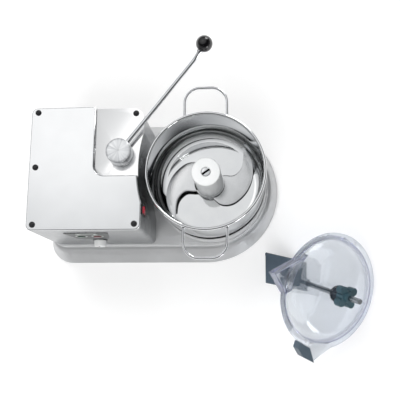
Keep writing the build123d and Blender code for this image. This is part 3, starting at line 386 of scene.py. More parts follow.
def plate(width, depth, low, high, corner=0.0, centre=(0, 0)):
    """A flat plate between two heights, with rounded corners, in mm."""
    bm = bmesh.new()
    bmesh.ops.create_grid(bm, x_segments=1, y_segments=1, size=0.5)
    bmesh.ops.scale(bm, vec=(width * MM, depth * MM, 1), verts=bm.verts)
    bmesh.ops.translate(bm, vec=(centre[0] * MM, centre[1] * MM, low * MM), verts=bm.verts)
    if corner:
        bmesh.ops.bevel(bm, geom=bm.verts[:], offset=corner * MM, affect="VERTICES", segments=6,
                        profile=0.5, material=-1)
    raised = bmesh.ops.extrude_face_region(bm, geom=bm.faces[:])["geom"]
    bmesh.ops.translate(bm, vec=(0, 0, (high - low) * MM), verts=corners_in(raised))
    bmesh.ops.recalc_face_normals(bm, faces=bm.faces)
    return bm


def soften(bm, width, segments=3, limit=32):
    """Rounds every edge sharper than a limit in degrees, by a width in mm."""
    bmesh.ops.recalc_face_normals(bm, faces=bm.faces)
    sharp = [edge for edge in bm.edges
             if len(edge.link_faces) == 2 and edge.calc_face_angle() > radians(limit)]
    bmesh.ops.bevel(bm, geom=sharp, offset=width * MM, affect="EDGES", segments=segments,
                    profile=0.5, clamp_overlap=True, material=-1)
    return bm


def moved(bm, *steps):
    """Applies matrices to a shape, the first one first."""
    for step in steps:
        bmesh.ops.transform(bm, matrix=step, verts=bm.verts)
    return bm


def shift(x, y, z):
    """A move in mm."""
    return Matrix.Translation(Vector((x, y, z)) * MM)


def turn_about(axis, degrees):
    """A turn about an axis through the origin."""
    return Matrix.Rotation(radians(degrees), 4, axis)


def repeated(bm, places):
    """Copies of a shape at each place."""
    first = bm.verts[:] + bm.edges[:] + bm.faces[:]
    for place in places[1:]:
        copy = bmesh.ops.duplicate(bm, geom=first)["geom"]
        bmesh.ops.transform(bm, matrix=place, verts=corners_in(copy))
    bmesh.ops.transform(bm, matrix=places[0], verts=corners_in(first))
    return bm


print("one step along X:", shift(1, 0, 0).translation[:])

# %% [markdown]
# ## Handing a piece over
# Each piece is shaded smooth with breaks at its real edges, rides on the body that moves it, and
# stands for the solid that it replaces. A solid that needs no new shape is copied with its
# triangles joined, and where a width is given, its sharp edges get the small radius that a mould
# or a press leaves.

# %% Hand a piece over
def in_scene(name, bm, finish):
    """An object in the scene, made of a shape and a finish."""
    mesh = bpy.data.meshes.new(name)
    bm.to_mesh(mesh)
    bm.free()
    mesh.materials.append(finish)
    made = bpy.data.objects.new(name, mesh)
    bpy.context.scene.collection.objects.link(made)
    return made


def publish(name, bm, finish, body, slot, *nodes, angle=30):
    """Makes a piece of a shape, riding on a body, in place of some solids."""
    bmesh.ops.recalc_face_normals(bm, faces=bm.faces)
    piece = in_scene(name, bm, finish)
    for face in piece.data.polygons:
        face.use_smooth = True
    piece.data.set_sharp_from_angle(angle=radians(angle))
    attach(piece, body)
    if nodes:
        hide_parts(*nodes)
    print(name, len(piece.data.polygons), "faces")
    return piece


bodies = {node: body for body, nodes in frame["record"]["behaviour"]["bodies"].items()
          for node in nodes}
slots = {part["node"]: part["material_slot"] for part in frame["record"]["subparts"]}


def dressed(node, finish, width=0.0, segments=3, angle=30):
    """The solid itself with joined faces, and with its sharp edges rounded by a width in mm."""
    bm = bmesh.new()
    bm.from_mesh(frame["nodes"][node].data)
    bmesh.ops.remove_doubles(bm, verts=bm.verts, dist=0.000002)
    if width:
        bmesh.ops.dissolve_limit(bm, angle_limit=radians(0.5), verts=bm.verts, edges=bm.edges)
        soften(bm, width, segments)
    piece = publish(node + "_dressed", bm, finish, bodies[node], slots[node], node, angle=angle)
    even = piece.modifiers.new("even_shading", "WEIGHTED_NORMAL")
    even.keep_sharp = True
    even.weight = 100


print("helpers ready for", len(bodies), "solids")

# %% [markdown]
# ## Turned and spun metal
# A lathe leaves fine grooves that run round the piece. Light stretches across such grooves into
# bright and dark wedges, like those on a saucepan lid, and the renderer draws that with
# anisotropy when the tangent follows the grooves. The turned pieces carry a UV map that runs
# round them, so the tangent comes from it. On the faced disc the wedges are also painted into the
# colour, as painted highlight and shade. The bowl was polished after it was spun, so it keeps
# hardly any groove.

# %% Finishes for turned pieces
PIVOT = Vector((-171, 33, 0))    # the lever's axis, in mm
STREAKS_ROUND = 6                # how often a groove's streak changes in one turn


def turned_metal(name, dark, light, rough, spread, groove, relief, stretch_of_light):
    """A metal with lathe grooves round the piece's axis, a groove being so many mm wide."""
    material, tree, shader, place = new_finish(name, light, 1.0, rough)
    shader.inputs["Anisotropic"].default_value = stretch_of_light
    tangent = add(tree, "Tangent", {"direction_type": "UV_MAP", "uv_map": "around"})
    tree.links.new(tangent.outputs[0], shader.inputs["Tangent"])
    along = add(tree, "UVMap", {"uv_map": "around"}).outputs[0]
    lines = add(tree, "Mapping", None, {
        "Vector": along, "Scale": (STREAKS_ROUND, per(groove), 1)}).outputs[0]
    fine = add(tree, "TexNoise", None, {
        "Vector": lines, "Scale": 1.0, "Detail": 2.0}).outputs["Fac"]
    broad = add(tree, "TexNoise", None, {
        "Vector": place, "Scale": per(HAND_PATCH), "Detail": 2.0}).outputs["Fac"]
    worn(tree, shader, fine, relief, fine, (0.3, 0.7), rough, spread)
    shade(tree, shader, broad, dark, light)
    return material


def paint_wedges(material, middle, dark, light):
    """Painted highlight and shade: colour wedges that change only with the angle round a point."""
    tree = material.node_tree
    place = add(tree, "TexCoord").outputs["Object"]
    off = add(tree, "VectorMath", {"operation": "SUBTRACT"}, {0: place, 1: middle * MM}).outputs[0]
    flat = add(tree, "VectorMath", {"operation": "MULTIPLY"}, {0: off, 1: (1, 1, 0)}).outputs[0]
    way = add(tree, "VectorMath", {"operation": "NORMALIZE"}, {0: flat}).outputs[0]
    # Read on a circle of radius 1, a scale of 2.6 gives wedges about 10 mm wide at the rim.
    wedge_painted_light = add(tree, "TexNoise", None, {
        "Vector": way, "Scale": 2.6, "Detail": 4.0, "Roughness": 0.7}).outputs["Fac"]
    # The colour runs between the wedges: painted highlight and shade.
    shade(tree, tree.nodes["Principled BSDF"], wedge_painted_light, dark, light, 0.38, 0.6)
    return material


# Spun and polished: close to a mirror, so it shows the room in wide bent bands. Its spinning
# marks are drawn 0.9 mm wide, about as wide as real ones.
spun_steel = turned_metal("polished_spun_steel", "#EEEFF0", "#F3F4F4", 0.045, 0.02, 0.9, 0.0006,
                          0.0)
# Faced with a pointed tool; the bright and dark wedges round the middle are painted highlight and
# shade. Real grooves are about 0.1 mm apart and are drawn at 0.5 mm.
faced_disc_painted_wedges = paint_wedges(
    turned_metal("faced_aluminium_painted_wedges", "#D5D7D9", "#DFE1E2", 0.3, 0.04, 0.5, 0.002, 0.5),
    PIVOT, "#D3D5D7", "#F6F7F8")
print("turned finishes:", spun_steel.name, faced_disc_painted_wedges.name)

# %% [markdown]
# ## Castings and sheet
# The base, the housing and the cover keep the shape of their solids, which already have the radii
# of the casting and of the folded sheet. Their triangles are joined up, so that each shades as
# one skin.

# %% Base, housing and cover
dressed("base_casting", silver_lacquer)
dressed("housing_shell", brushed_wall_painted_shade)
dressed("top_cover", brushed_sheet)

# %% [markdown]
# ## The seat of the bowl
# The bowl stands on a wide ring of black rubber, cut from sheet. It takes up the play between
# bowl and casting, and shows as a dark line round the bowl's foot. A knife leaves its edges a
# little round.

# %% Dress the seat ring
dressed("bowl_seat_ring", soft_rubber, 0.6, angle=40)

# %% [markdown]
# ## Screw caps
# A black polyamide cap snaps over each screw of the cover: a low dome on a thin skirt. One
# profile gives the dome, four times on the cover and once on the lower back ledge.

# %% Five domed caps
on_cover, on_ledge = 260, 245.5
cap_spots = [(-343, 120, on_cover), (-343, 4, on_cover), (-343, -113.5, on_cover),
             (-137.5, -113.5, on_cover), (-141.5, 119, on_ledge)]
dome_line = [(0, 4.6), (2.2, 4.4), (4.1, 3.6), (5.3, 2.2), (5.75, 1.0), (6.2, 0.9), (6.2, 0.05),
             (5.2, 0.05), (5.0, 1.6), (3.2, 3.0), (0, 3.5)]
caps = repeated(turned(dome_line, 32), [shift(*spot) for spot in cap_spots])
publish("domed_caps", caps, eroded_black, "machine", "cap_plastic", "screw_caps", angle=50)

# %% [markdown]
# ## The pivot cap
# The boss that the lever swings round is an aluminium disc faced on a lathe: a tiny centre mark,
# grooves round it, and a rolled edge. The grooves and the painted wedges of highlight and shade do
# the work here, so its profile is simple.

# %% Turn the pivot cap
cap_top, cap_foot, cap_radius = 273, 247.2, 25.5
cap_line = [(0, cap_top - 0.4), (1.2, cap_top - 0.4), (1.5, cap_top), (22.6, cap_top),
            (22.9, cap_top - 0.4), (23.5, cap_top - 0.4), (23.8, cap_top - 0.1),
            (cap_radius, cap_top - 0.6), (cap_radius, cap_foot + 1.0),
            (cap_radius - 0.9, cap_foot), (8.6, cap_foot), (8.6, 250)]
pivot_top = moved(turned(rounded(cap_line, 0.9, 3)), shift(*PIVOT))
publish("turned_pivot_cap", pivot_top, faced_disc_painted_wedges, "lever", "turned_metal", "pivot_cap", angle=35)

# %% [markdown]
# ## Lever and ball
# The lever is bright bar, bent once, with a phenolic ball screwed on its end against a small
# collar. The ball is a turned shape too: its flat seat, where it meets the collar, tells it from
# a plain sphere.

# %% Bar, collar and ball
dressed("lever_rod", polished_wire, angle=40)
lever_angle, bar_level, bar_reach = radians(52), 261, 279
end_run, end_rise, ball_radius = 35, 16, 17
lever_way, up = Vector((cos(lever_angle), sin(lever_angle), 0)), Vector((0, 0, 1))
end_way = (lever_way * end_run + up * end_rise).normalized()
ball_spot = PIVOT + up * bar_level + lever_way * bar_reach + up * end_rise
on_bar = end_way.to_track_quat("Z", "Y").to_matrix().to_4x4()
seat_angle = 0.42    # radians from the ball's foot to the edge of its flat seat
ball_line = []
for i in range(25):
    polar = seat_angle + i / 24 * (pi - seat_angle)
    ball_line.append((ball_radius * sin(polar), -ball_radius * cos(polar)))
seat_radius, seat_level = ball_line[0]
ball_line = [(5.2, seat_level), (seat_radius - 0.4, seat_level)] + ball_line
ball_line[-1] = (0, ball_radius)
ball = moved(turned(ball_line, 48), on_bar, shift(*ball_spot))
publish("phenolic_ball", ball, phenolic_black, "lever", "ball_black", "lever_ball", angle=35)
collar_line = [(4.5, -20.5), (6.6, -20.5), (6.6, -15.2), (4.5, -15.2)]
collar = moved(turned(rounded(collar_line, 0.6), 32), on_bar, shift(*ball_spot))
publish("ball_collar", collar, polished_wire, "lever", "rod_chrome", angle=35)

# %% [markdown]
# ## The bowl
# The bowl is spun from one sheet of stainless steel and polished: a deep wall, a wide curve at
# the bottom, a flat floor, a tube in the middle for the spindle and a rolled rim. The wide curve
# mirrors the dark room as a ring round the floor. One closed profile makes it all, down the
# inside, up the tube, and back along the underside.

# %% Spin the bowl
bowl_radius, bowl_floor, sheet_thick = 120, 98, 1.5
tube_radius, tube_top, wall_top = 18.5, 196, 233
rim_top, rim_radius, floor_curve, tube_curve = 236, 3.25, 24, 5
inside, outside = bowl_radius, bowl_radius + sheet_thick
above, below = bowl_floor + sheet_thick, bowl_floor
inner = [(inside, wall_top), (inside, above), (tube_radius, above), (tube_radius, tube_top),
         (14.4, tube_top)]
outer = [(14.4, tube_top - sheet_thick), (17, tube_top - sheet_thick), (17, below),
         (outside, below), (outside, wall_top)]
# The curves are given along the middle of the sheet, so each side adds or takes half of it.
half = sheet_thick / 2
wall_line = rounded(inner, [floor_curve - half, tube_curve - half, 1.2], 12)
wall_line += rounded(outer, [0.6, tube_curve + half, floor_curve + half], 12)
bead = [Vector((bowl_radius + half + rim_radius * sin(radians(angle)),
                rim_top - rim_radius - rim_radius * cos(radians(angle))))
        for angle in range(15, 345, 15)]
closing = Vector((122, 230.2))
spun = turned([closing] + bead + wall_line + [closing], 144)
publish("spun_bowl", spun, spun_steel, "bowl_unit", "bowl_polished", "bowl", angle=38)

# %% [markdown]
# ## Handles
# Each handle is one bent wire, welded to the bowl. The helper draws a circle at each point of a
# path and joins it to the next. A weld leaves a small fillet of metal round the wire's foot,
# which hides the hard line where two solids meet.

# %% Wires and welds
def wire(path, radius, steps=20):
    """A round wire along a path of points in mm, with closed ends."""
    bm = bmesh.new()
    rings = []
    for i, spot in enumerate(path):
        ahead = path[min(i + 1, len(path) - 1)] - path[max(i - 1, 0)]
        place = shift(*spot) @ ahead.to_track_quat("Z", "Y").to_matrix().to_4x4()
        made = bmesh.ops.create_circle(bm, segments=steps, radius=radius * MM, matrix=place)
        rings.append(list({edge for vert in made["verts"] for edge in vert.link_edges}))
    for near, far in zip(rings, rings[1:]):
        bmesh.ops.bridge_loops(bm, edges=near + far)
    bmesh.ops.holes_fill(bm, edges=bm.edges, sides=0)
    return bm


half_width, foot, far_side, handle_level = 44, 113, 178, 225
wire_radius, wire_bend, weld_foot = 3, 33, 113.4
bend = rounded([(half_width, foot), (half_width, far_side), (-half_width, far_side),
                (-half_width, foot)], wire_bend, 14)
one_handle = wire([Vector((x, y, handle_level)) for x, y in bend], wire_radius)
handles = repeated(one_handle, [shift(0, 0, 0), turn_about("Z", 180)])
publish("wire_handles", handles, polished_wire, "bowl_unit", "rod_chrome", "bowl_handles",
        angle=40)
weld_line = rounded([(2.9, 4.6), (3.5, 3.0), (4.6, 1.2), (6.0, 0.0), (2.9, -0.6)], 0.8)
weld_places = [shift(x, y, handle_level) @ turn_about("X", -90 if y > 0 else 90)
               for x in (-half_width, half_width) for y in (-weld_foot, weld_foot)]
welds = repeated(turned(weld_line, 32), weld_places)
publish("handle_welds", welds, polished_wire, "bowl_unit", "rod_chrome", angle=50)

# %% [markdown]
# ## The lines of a blade
# A cutter blade is a sickle of flat steel. Its outer edge is ground to a thin bevel, and its
# hollow edge is chamfered steeply so that meat slides off. Both edges are smooth curves, given
# here as shares of the blade's reach at some angles round the spindle.

# %% Smooth lines for the blades
TIP_RADIUS = 111


def smooth_line(points, steps):
    """Points along a smooth curve through the given ones."""
    ends = [points[0]] + points + [points[-1]]
    line = []
    for a, b, c, d in zip(ends, ends[1:], ends[2:], ends[3:]):
        line += interpolate_bezier(b, b + (c - a) / 6, c - (d - b) / 6, c, steps)[:-1]
    return line + [points[-1]]


def on_circle(share, angle):
    """A point in mm at a share of the blade's reach and an angle in degrees."""
    return Vector((cos(radians(angle)), sin(radians(angle)), 0)) * TIP_RADIUS * share


cutting_edge = [(0.234, 92), (0.468, 118), (0.613, 140), (0.73, 165), (0.833, 185), (0.91, 201),
                (0.968, 217), (1, 230)]
hollow_edge = [(0.243, 224), (0.351, 208), (0.514, 199), (0.703, 207), (0.865, 220), (1, 230)]
cut_line = smooth_line([on_circle(*p) for p in cutting_edge], 10)
hollow_line = smooth_line([on_circle(*p) for p in hollow_edge], 14)
print("points on the edges:", len(cut_line), len(hollow_line))

# %% [markdown]
# ## Grinding the blades
# Six lines run from root to tip: the foot and the top of the cutting edge, the top of its bevel,
# the top of the hollow's chamfer, and the top and the foot of the hollow edge. Bridging each to
# the next, and the last to the first, makes the whole skin. Near the tip the blade is narrow, so
# bevel and chamfer shrink with it. The second blade is the same shape half a turn on, one spacer
# lower.

# %% Build a blade
ROOT_RING = (22, 33)    # mm, inner and outer radius of the ring that the hub clamps


def blade(low, high, turn):
    """A sickle blade between two heights, with a ground edge and a chamfered hollow."""
    bevel_width, bevel_drop, chamfer_width, chamfer_drop = 6.5, 1.0, 2.0, 0.5
    bm = bmesh.new()
    count = len(cut_line) - 1
    rows = [[] for _ in range(6)]
    for i, a in enumerate(cut_line):
        j = i * (len(hollow_line) - 1) / count
        k = min(int(j), len(hollow_line) - 2)
        b = hollow_line[k].lerp(hollow_line[k + 1], j - k)
        width = max((b - a).length, 0.001)
        bevel, chamfer = min(bevel_width / width, 0.3), min(chamfer_width / width, 0.34)
        places = (a, a, a.lerp(b, bevel), a.lerp(b, 1 - chamfer), b, b)
        heights = (low, high - bevel_drop, high, high, high - chamfer_drop, low)
        for row, place, height in zip(rows, places, heights):
            row.append(bm.verts.new((place.x * MM, place.y * MM, height * MM)))
    chains = [[bm.edges.new(pair) for pair in zip(row, row[1:])] for row in rows]
    for left, right in zip(chains, chains[1:] + chains[:1]):
        bmesh.ops.bridge_loops(bm, edges=left + right)
    bmesh.ops.holes_fill(bm, edges=bm.edges, sides=0)
    bmesh.ops.remove_doubles(bm, verts=bm.verts, dist=0.00001)
    bore, rim = ROOT_RING
    ring = turned([(bore, low), (rim, low), (rim, high), (bore, high), (bore, low)], 64)
    ring_mesh = bpy.data.meshes.new("ring")
    ring.to_mesh(ring_mesh)
    ring.free()
    bm.from_mesh(ring_mesh)
    bpy.data.meshes.remove(ring_mesh)
    return moved(bm, turn_about("Z", turn))


for name, node, low, turn in (("upper_sickle", "upper_blade", 117, 0),
                              ("lower_sickle", "lower_blade", 108, 180)):
    publish(name, blade(low, low + 3, turn), ground_steel, "blade_unit", "blade_steel", node,
            angle=12)

# %% [markdown]
# ## The hub
# White acetal is turned into a stout hub that covers the spindle, with a spacer between the
# blades and an octagonal nut below. The hub is one profile with generous corners, since a hand
# grips it.

# %% Turn the hub and dress its spacer and nut
hub_radius, hub_top, hub_foot, hub_bore = 30, 218, 120, 20.6
hub_line = [(10, hub_top - 0.8), (10, hub_top), (hub_radius, hub_top), (hub_radius, hub_foot),
            (hub_bore, hub_foot), (hub_bore, 198), (4.1, 198), (4.1, 211), (10, 211),
            (10, hub_top - 0.8)]
hub = turned(rounded(hub_line, 3.0, 5))
publish("turned_hub", hub, white_acetal, "blade_unit", "hub_white", "blade_hub", angle=40)
dressed("blade_spacer", white_acetal, 0.4)
dressed("blade_nut", white_acetal, 0.5)

# %% [markdown]
# ## The coin screw
# A coin screw closes the hub's top. Its slot is made as a saw makes it: the face of the head is
# divided by two planes and the strip between them is pushed down. The slot's walls are drawn
# near black: painted shade.

# %% Cut the coin slot
head_top, slot_half, slot_depth, slot_turn = 217.9, 2.2, 4.5, 35
head_line = [(0, head_top), (9.3, head_top), (9.3, 211), (4, 211), (4, 199), (0, 199)]
head = turned(rounded(head_line, 1.0), 64)
for side in (-slot_half, slot_half):
    bmesh.ops.bisect_plane(head, geom=head.verts[:] + head.edges[:] + head.faces[:],
                           dist=0.0000001, plane_co=(0, side * MM, 0), plane_no=(0, 1, 0))
strip = [face for face in head.faces
         if face.normal.z > 0.5 and face.calc_center_median().z > 216.5 * MM
         and abs(face.calc_center_median().y) < slot_half * MM]
uncut = set(head.faces)
sunk = bmesh.ops.extrude_face_region(head, geom=strip)["geom"]
bmesh.ops.translate(head, vec=(0, 0, -slot_depth * MM), verts=corners_in(sunk))
# The sunk faces take the near black steel: painted shade.
for face in set(head.faces) - uncut:
    face.material_index = 1
bmesh.ops.delete(head, geom=strip, context="FACES")
screw = publish("coin_screw", moved(head, turn_about("Z", slot_turn)), polished_wire,
                "blade_unit", "rod_chrome", "hub_screw", angle=35)
screw.data.materials.append(slot_painted_shade)

# %% [markdown]
# ## The front panel
# The panel is a dark plate with a pale ring printed round each button, a sign over each and a bar
# across the top. Screen-printed ink is a thin raised film, so the marks are thin shapes of their
# own, and none of them is a word.

# %% Panel, marks and buttons
# Wet paint levels out: dark grey green with a soft, even sheen.
panel_paint = plastic("grey_green_panel_paint", "#22282A", "#2C3335", 0.34, 0.05, 1.2, 0.01)
# Ink dries flat and matt: pale, and bright from every side.
pale_ink = plastic("pale_screen_ink", "#C9CDCA", "#D6DAD7", 0.5, 0.05, 0.8, 0.01)
dressed("front_panel", panel_paint, 0.3)
facing_front = turn_about("X", 90)
panel_face, button_spots, button_level, sign_level = -126.5, (-262, -228), 186, 208
ink = 0.25    # mm, the height of every printed mark
ring_line = [(10.4, 0), (12.6, 0), (12.6, ink), (10.4, ink), (10.4, 0)]
rings = repeated(turned(ring_line, 48),
                 [shift(x, panel_face, button_level) @ facing_front for x in button_spots])
publish("button_rings", rings, pale_ink, "machine", "panel_dark")
triangle = turned([(0, 0), (5.5, 0), (5.5, ink), (0, ink)], 3)
signs = repeated(triangle,
                 [shift(x, panel_face, sign_level) @ facing_front for x in button_spots])
publish("button_symbols", signs, pale_ink, "machine", "panel_dark", angle=20)
bar = moved(soften(plate(44, 5, 0, ink, 2.2), 0.1, 1), facing_front, shift(-245, panel_face, 218))
publish("panel_bar", bar, pale_ink, "machine", "panel_dark")
dressed("start_button", start_plastic, 0.5)
dressed("stop_button", stop_plastic, 0.5)

# %% [markdown]
# ## The speed knob
# The knob is a turned cap with shallow flutes for the fingers. Its profile is spun first, and
# then its side is pressed in and out as a wave that runs round it, as a fluting cutter leaves it.

# %% Speed knob with fluted grip
flutes, flute_share, side_radius, side_top = 20, 0.03, 11.5, 12.8
grip_line = rounded([(0, 14), (11.2, 14), (12.2, 12.6), (13, 1.5), (12.4, 0), (3.1, 0), (3.1, 6),
                     (0, 6)], 0.8, 3)
grip = turned(grip_line, flutes * 8)
for vert in grip.verts:
    spot = vert.co
    if hypot(spot.x, spot.y) > side_radius * MM and spot.z < side_top * MM:
        wave = 1 - flute_share * (0.5 + 0.5 * cos(flutes * atan2(spot.y, spot.x)))
        spot.x, spot.y = spot.x * wave, spot.y * wave
on_dial = shift(-236, -126.7, 129) @ facing_front
publish("fluted_knob", moved(grip, on_dial), satin_lacquer, "speed_knob", "knob_metal",
        "speed_knob", angle=40)
pointer = moved(soften(plate(1.6, 9, 13.9, 14.15, 0.5, (0, 6)), 0.08, 1), on_dial)
publish("knob_pointer", pointer, eroded_black, "speed_knob", "knob_metal")
tick_places = [on_dial @ shift(0, 0, 1.0) @ turn_about("Z", angle)
               for angle in range(-135, 136, 27)]
ticks = repeated(plate(0.9, 3.2, 0, ink, 0, (0, 20.5)), tick_places)
publish("dial_ticks", ticks, pale_ink, "machine", "switch_black")

# %% [markdown]
# ## The mains switch
# A rocker switch snaps into the housing's side: a red rocker in a black frame, at rest with one
# end in. Its two marks are a ring for off and a stroke for on.

# %% Rocker with its two marks
dressed("power_rocker", rocker_plastic, 0.6)
dressed("power_switch_frame", eroded_black, 0.5)
on_rocker = shift(-125, -83, 231) @ turn_about("Y", 8) @ turn_about("Y", 90) @ shift(0, 0, 0.2)
off_mark = turned([(2.0, 3.05), (3.1, 3.05), (3.1, 3.35), (2.0, 3.35), (2.0, 3.05)], 32)
publish("rocker_off_mark", moved(off_mark, on_rocker @ shift(9.5, 0, 0)), pale_ink,
        "power_rocker", "rocker_red")
on_mark = plate(4.8, 1.0, 3.05, 3.35, 0, (-9.5, 0))
publish("rocker_on_mark", moved(on_mark, on_rocker), pale_ink, "power_rocker", "rocker_red")

# %% [markdown]
# ## The clear lid
# The lid is moulded in clear polycarbonate, a plastic that bends light more than glass and has a
# faint lavender tint. Its shape is that of the solid. The finish is transmission with the real
# IOR of 1.585, a tint that deepens where the wall is seen edge on, because there the light has
# more plastic to cross, and shadow rays that mostly pass, since a thin clear wall throws only a
# weak shadow.

# %% Polycarbonate
def clear_plastic(name, face_on, edge_on, shadow):
    """A clear plastic: its tint face on, its tint edge on, and the light that its shadow keeps."""
    material, tree, shader, place = new_finish(name, face_on, 0.0, 0.03)
    shader.inputs["IOR"].default_value = 1.585
    shader.inputs["Transmission Weight"].default_value = 1.0
    facing = add(tree, "LayerWeight", None, {"Blend": 0.35}).outputs["Facing"]
    tint = shade(tree, shader, facing, face_on, edge_on, 0.3, 0.82)
    # A moulding cools unevenly: waves 30 mm long and up to 0.2 mm deep bend what is seen through.
    wave = add(tree, "TexNoise", None, {
        "Vector": place, "Scale": per(30), "Detail": 1.0}).outputs["Fac"]
    # Washing dulls it in patches of about 12 mm.
    dull = add(tree, "TexNoise", None, {
        "Vector": place, "Scale": per(12), "Detail": 4.0}).outputs["Fac"]
    worn(tree, shader, wave, 0.2, dull, (0.0, 1.0), 0.03, 0.03)
    # A third of the light goes straight through, as it does through so thin a wall.
    clear = add(tree, "BsdfTransparent", None, {"Color": tint})
    wall = add(tree, "MixShader", None, {0: 0.35, 1: shader.outputs[0], 2: clear.outputs[0]})
    passed = add(tree, "BsdfTransparent", None, {"Color": linear(shadow)})
    is_shadow = add(tree, "LightPath").outputs["Is Shadow Ray"]
    both = add(tree, "MixShader", None, {
        0: is_shadow, 1: wall.outputs[0], 2: passed.outputs[0]})
    tree.links.new(both.outputs[0], tree.nodes["Material Output"].inputs["Surface"])
    return material


polycarbonate = clear_plastic("clear_polycarbonate", "#E9ECEF", "#4E5592", "#D6D9E1")
dressed("lid", polycarbonate, angle=35)

# %% [markdown]
# ## Grips of the lid
# The knob, the paddle and the magnet block are solid mouldings. A mould never makes a knife edge,
# so each gets a radius of its own size: large on the knob that the hand turns, small on the
# paddle. The rod between them is ground bar.

# %% Knob, paddle, block, bush and rod
dressed("scraper_knob", teal_plastic, 1.6, 4, 40)
dressed("scraper_paddle", slate_plastic, 0.7, 3, 35)
dressed("lid_magnet_block", slate_plastic, 1.2, 3, 35)
dressed("lid_bush", bush_plastic, 0.5, 3, 35)
dressed("scraper_rod", ground_bar, angle=40)

# %% [markdown]
# ## The floor
# The machine stands on a plain pale sheet, which keeps its shadow. To the camera, to mirrors and
# through the clear lid it also glows a little, like a sheet lit from below. The glow rises with
# the distance, so the far floor fades into the white behind it.

# %% Build the floor
near, far, near_glow, floor_half = 0.7, 2.2, 0.37, 12
floor_card = bpy.data.materials.new("pale_floor")
floor_card.use_nodes = True
tree = floor_card.node_tree
tree.nodes.clear()
ray = add(tree, "LightPath").outputs
to_eye = add(tree, "Math", {"operation": "MAXIMUM"}, {
    0: ray["Is Camera Ray"], 1: ray["Is Glossy Ray"]}).outputs[0]
seen = add(tree, "Math", {"operation": "MAXIMUM"}, {
    0: to_eye, 1: ray["Is Transmission Ray"]}).outputs[0]
away = add(tree, "VectorMath", {"operation": "LENGTH"}, {
    0: add(tree, "TexCoord").outputs["Object"]}).outputs["Value"]
rise = add(tree, "MapRange", {"interpolation_type": "SMOOTHSTEP"}, {
    "Value": away, "From Min": near, "From Max": far, "To Min": near_glow, "To Max": 1.0})
glow = add(tree, "Math", {"operation": "MULTIPLY"}, {0: seen, 1: rise.outputs[0]})
matte = add(tree, "BsdfDiffuse", None, {"Color": linear("#DEDEDE")})
lift = add(tree, "Emission", None, {"Color": WHITE, "Strength": glow.outputs[0]})
both = add(tree, "AddShader", None, {0: matte.outputs[0], 1: lift.outputs[0]})
add(tree, "OutputMaterial", None, {"Surface": both.outputs[0]})
sheet = bmesh.new()
bmesh.ops.create_grid(sheet, x_segments=1, y_segments=1, size=floor_half)
floor = in_scene("floor", sheet, floor_card)
print("floor:", 2 * floor_half, "m across")

# %% [markdown]
# ## The lamps
# Two large soft lamps light the scene: the main one from the back on the left, which throws the
# shadow, and one from the front that fills it in. Neither shows in the metal, where it would be a
# square glare. Two weak ones do the opposite: they put a gleam on shiny things, such as the lid,
# and light nothing.

# %% Hang the lamps
def softbox(name, place, aim, size, watts):
    """A square lamp that faces a point."""
    light = bpy.data.lights.new(name, "AREA")
    light.shape = "SQUARE"
    light.size = size
    light.energy = watts
    lamp = bpy.data.objects.new(name, light)
    lamp.location = place
    lamp.rotation_euler = (Vector(aim) - Vector(place)).to_track_quat("-Z", "Y").to_euler()
    bpy.context.scene.collection.objects.link(lamp)
    return lamp


machine_middle, lid_middle = (0, 0, 0.1), (0.25, -0.23, 0.1)
room_lamps = [softbox("main_lamp", (-0.7, 1.2, 2.0), machine_middle, 1.3, 23),
              softbox("fill_lamp", (-0.3, -1.25, 1.9), machine_middle, 1.2, 22)]
for lamp in room_lamps:
    lamp.visible_glossy = False
lid_gleams = [softbox("high_gleam", (0.84, 1.97, 1.15), lid_middle, 0.9, 14),
              softbox("low_gleam", (1.8, -2.2, 0.6), lid_middle, 0.7, 9)]
for lamp in lid_gleams:
    lamp.visible_diffuse = False
print("lamps:", len(room_lamps), "soft and", len(lid_gleams), "for gleams")

# %% [markdown]
# ## The surroundings
# Metal shows whatever is around it, so what it mirrors matters more than how bright the lamps
# are. It mirrors a dark room with a large pale panel overhead, a little to the back and the left:
# flat tops show the panel and look white, and curved steel shows the dark room as black bands. A
# grey belt along the horizon is for flat metal that is seen from low down. The camera and the
# clear lid see plain white.

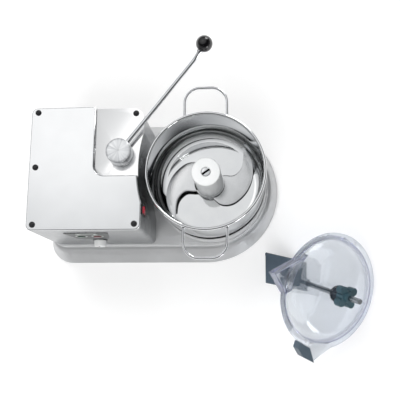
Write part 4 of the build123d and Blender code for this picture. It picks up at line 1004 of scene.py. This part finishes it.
# %% Fill the surroundings
world = bpy.data.worlds.new("studio")
bpy.context.scene.world = world
world.use_nodes = True
tree = world.node_tree
tree.nodes.clear()
way = add(tree, "TexCoord").outputs["Generated"]
panel_way = Vector((-0.27, 0.33, 0.9)).normalized()
# Each step is a cosine of the angle from the panel's middle, and the grey that is seen there.
panel_steps = [(0.0, "#0C0D0E"), (0.55, "#121315"), (0.64, "#2A2B2D"), (0.7, "#9FA0A2"),
               (0.93, "#C8C9CA"), (0.975, "#D2D3D4"), (0.985, "#DEDFE0"), (0.994, "#FFFFFF")]
aimed = add(tree, "VectorMath", {"operation": "DOT_PRODUCT"}, {0: way, 1: panel_way})
mirrored = add(tree, "ValToRGB", None, {"Fac": aimed.outputs["Value"]})
greys = mirrored.color_ramp.elements
for i, (cosine, grey) in enumerate(panel_steps):
    step = greys[i] if i < 2 else greys.new(cosine)
    step.position = cosine
    step.color = linear(grey)
belt_low, belt_high = 0.22, 0.42    # sines of the height above the horizon
elevation = add(tree, "SeparateXYZ", None, {0: way}).outputs["Z"]
belt = add(tree, "MapRange", None, {
    "Value": elevation, "From Min": belt_low, "From Max": belt_high, "To Min": 1.0, "To Max": 0.0})
room = add(tree, "Mix", {"data_type": "RGBA"}, {
    "Factor": belt.outputs[0], 6: mirrored.outputs[0], 7: linear("#8E8F91")})
ray = add(tree, "LightPath").outputs
clear_view = add(tree, "Math", {"operation": "MAXIMUM"}, {
    0: ray["Is Camera Ray"], 1: ray["Is Transmission Ray"]}).outputs[0]
plain = add(tree, "Background", None, {"Color": WHITE, "Strength": 1.0})
mirror = add(tree, "Background", None, {"Color": room.outputs[2], "Strength": 1.25})
soft = add(tree, "Background", None, {"Color": WHITE, "Strength": 0.42})
lit = add(tree, "MixShader", None, {
    0: ray["Is Glossy Ray"], 1: soft.outputs[0], 2: mirror.outputs[0]})
whole = add(tree, "MixShader", None, {0: clear_view, 1: lit.outputs[0], 2: plain.outputs[0]})
add(tree, "OutputWorld", None, {"Surface": whole.outputs[0]})
print("surroundings:", world.name)
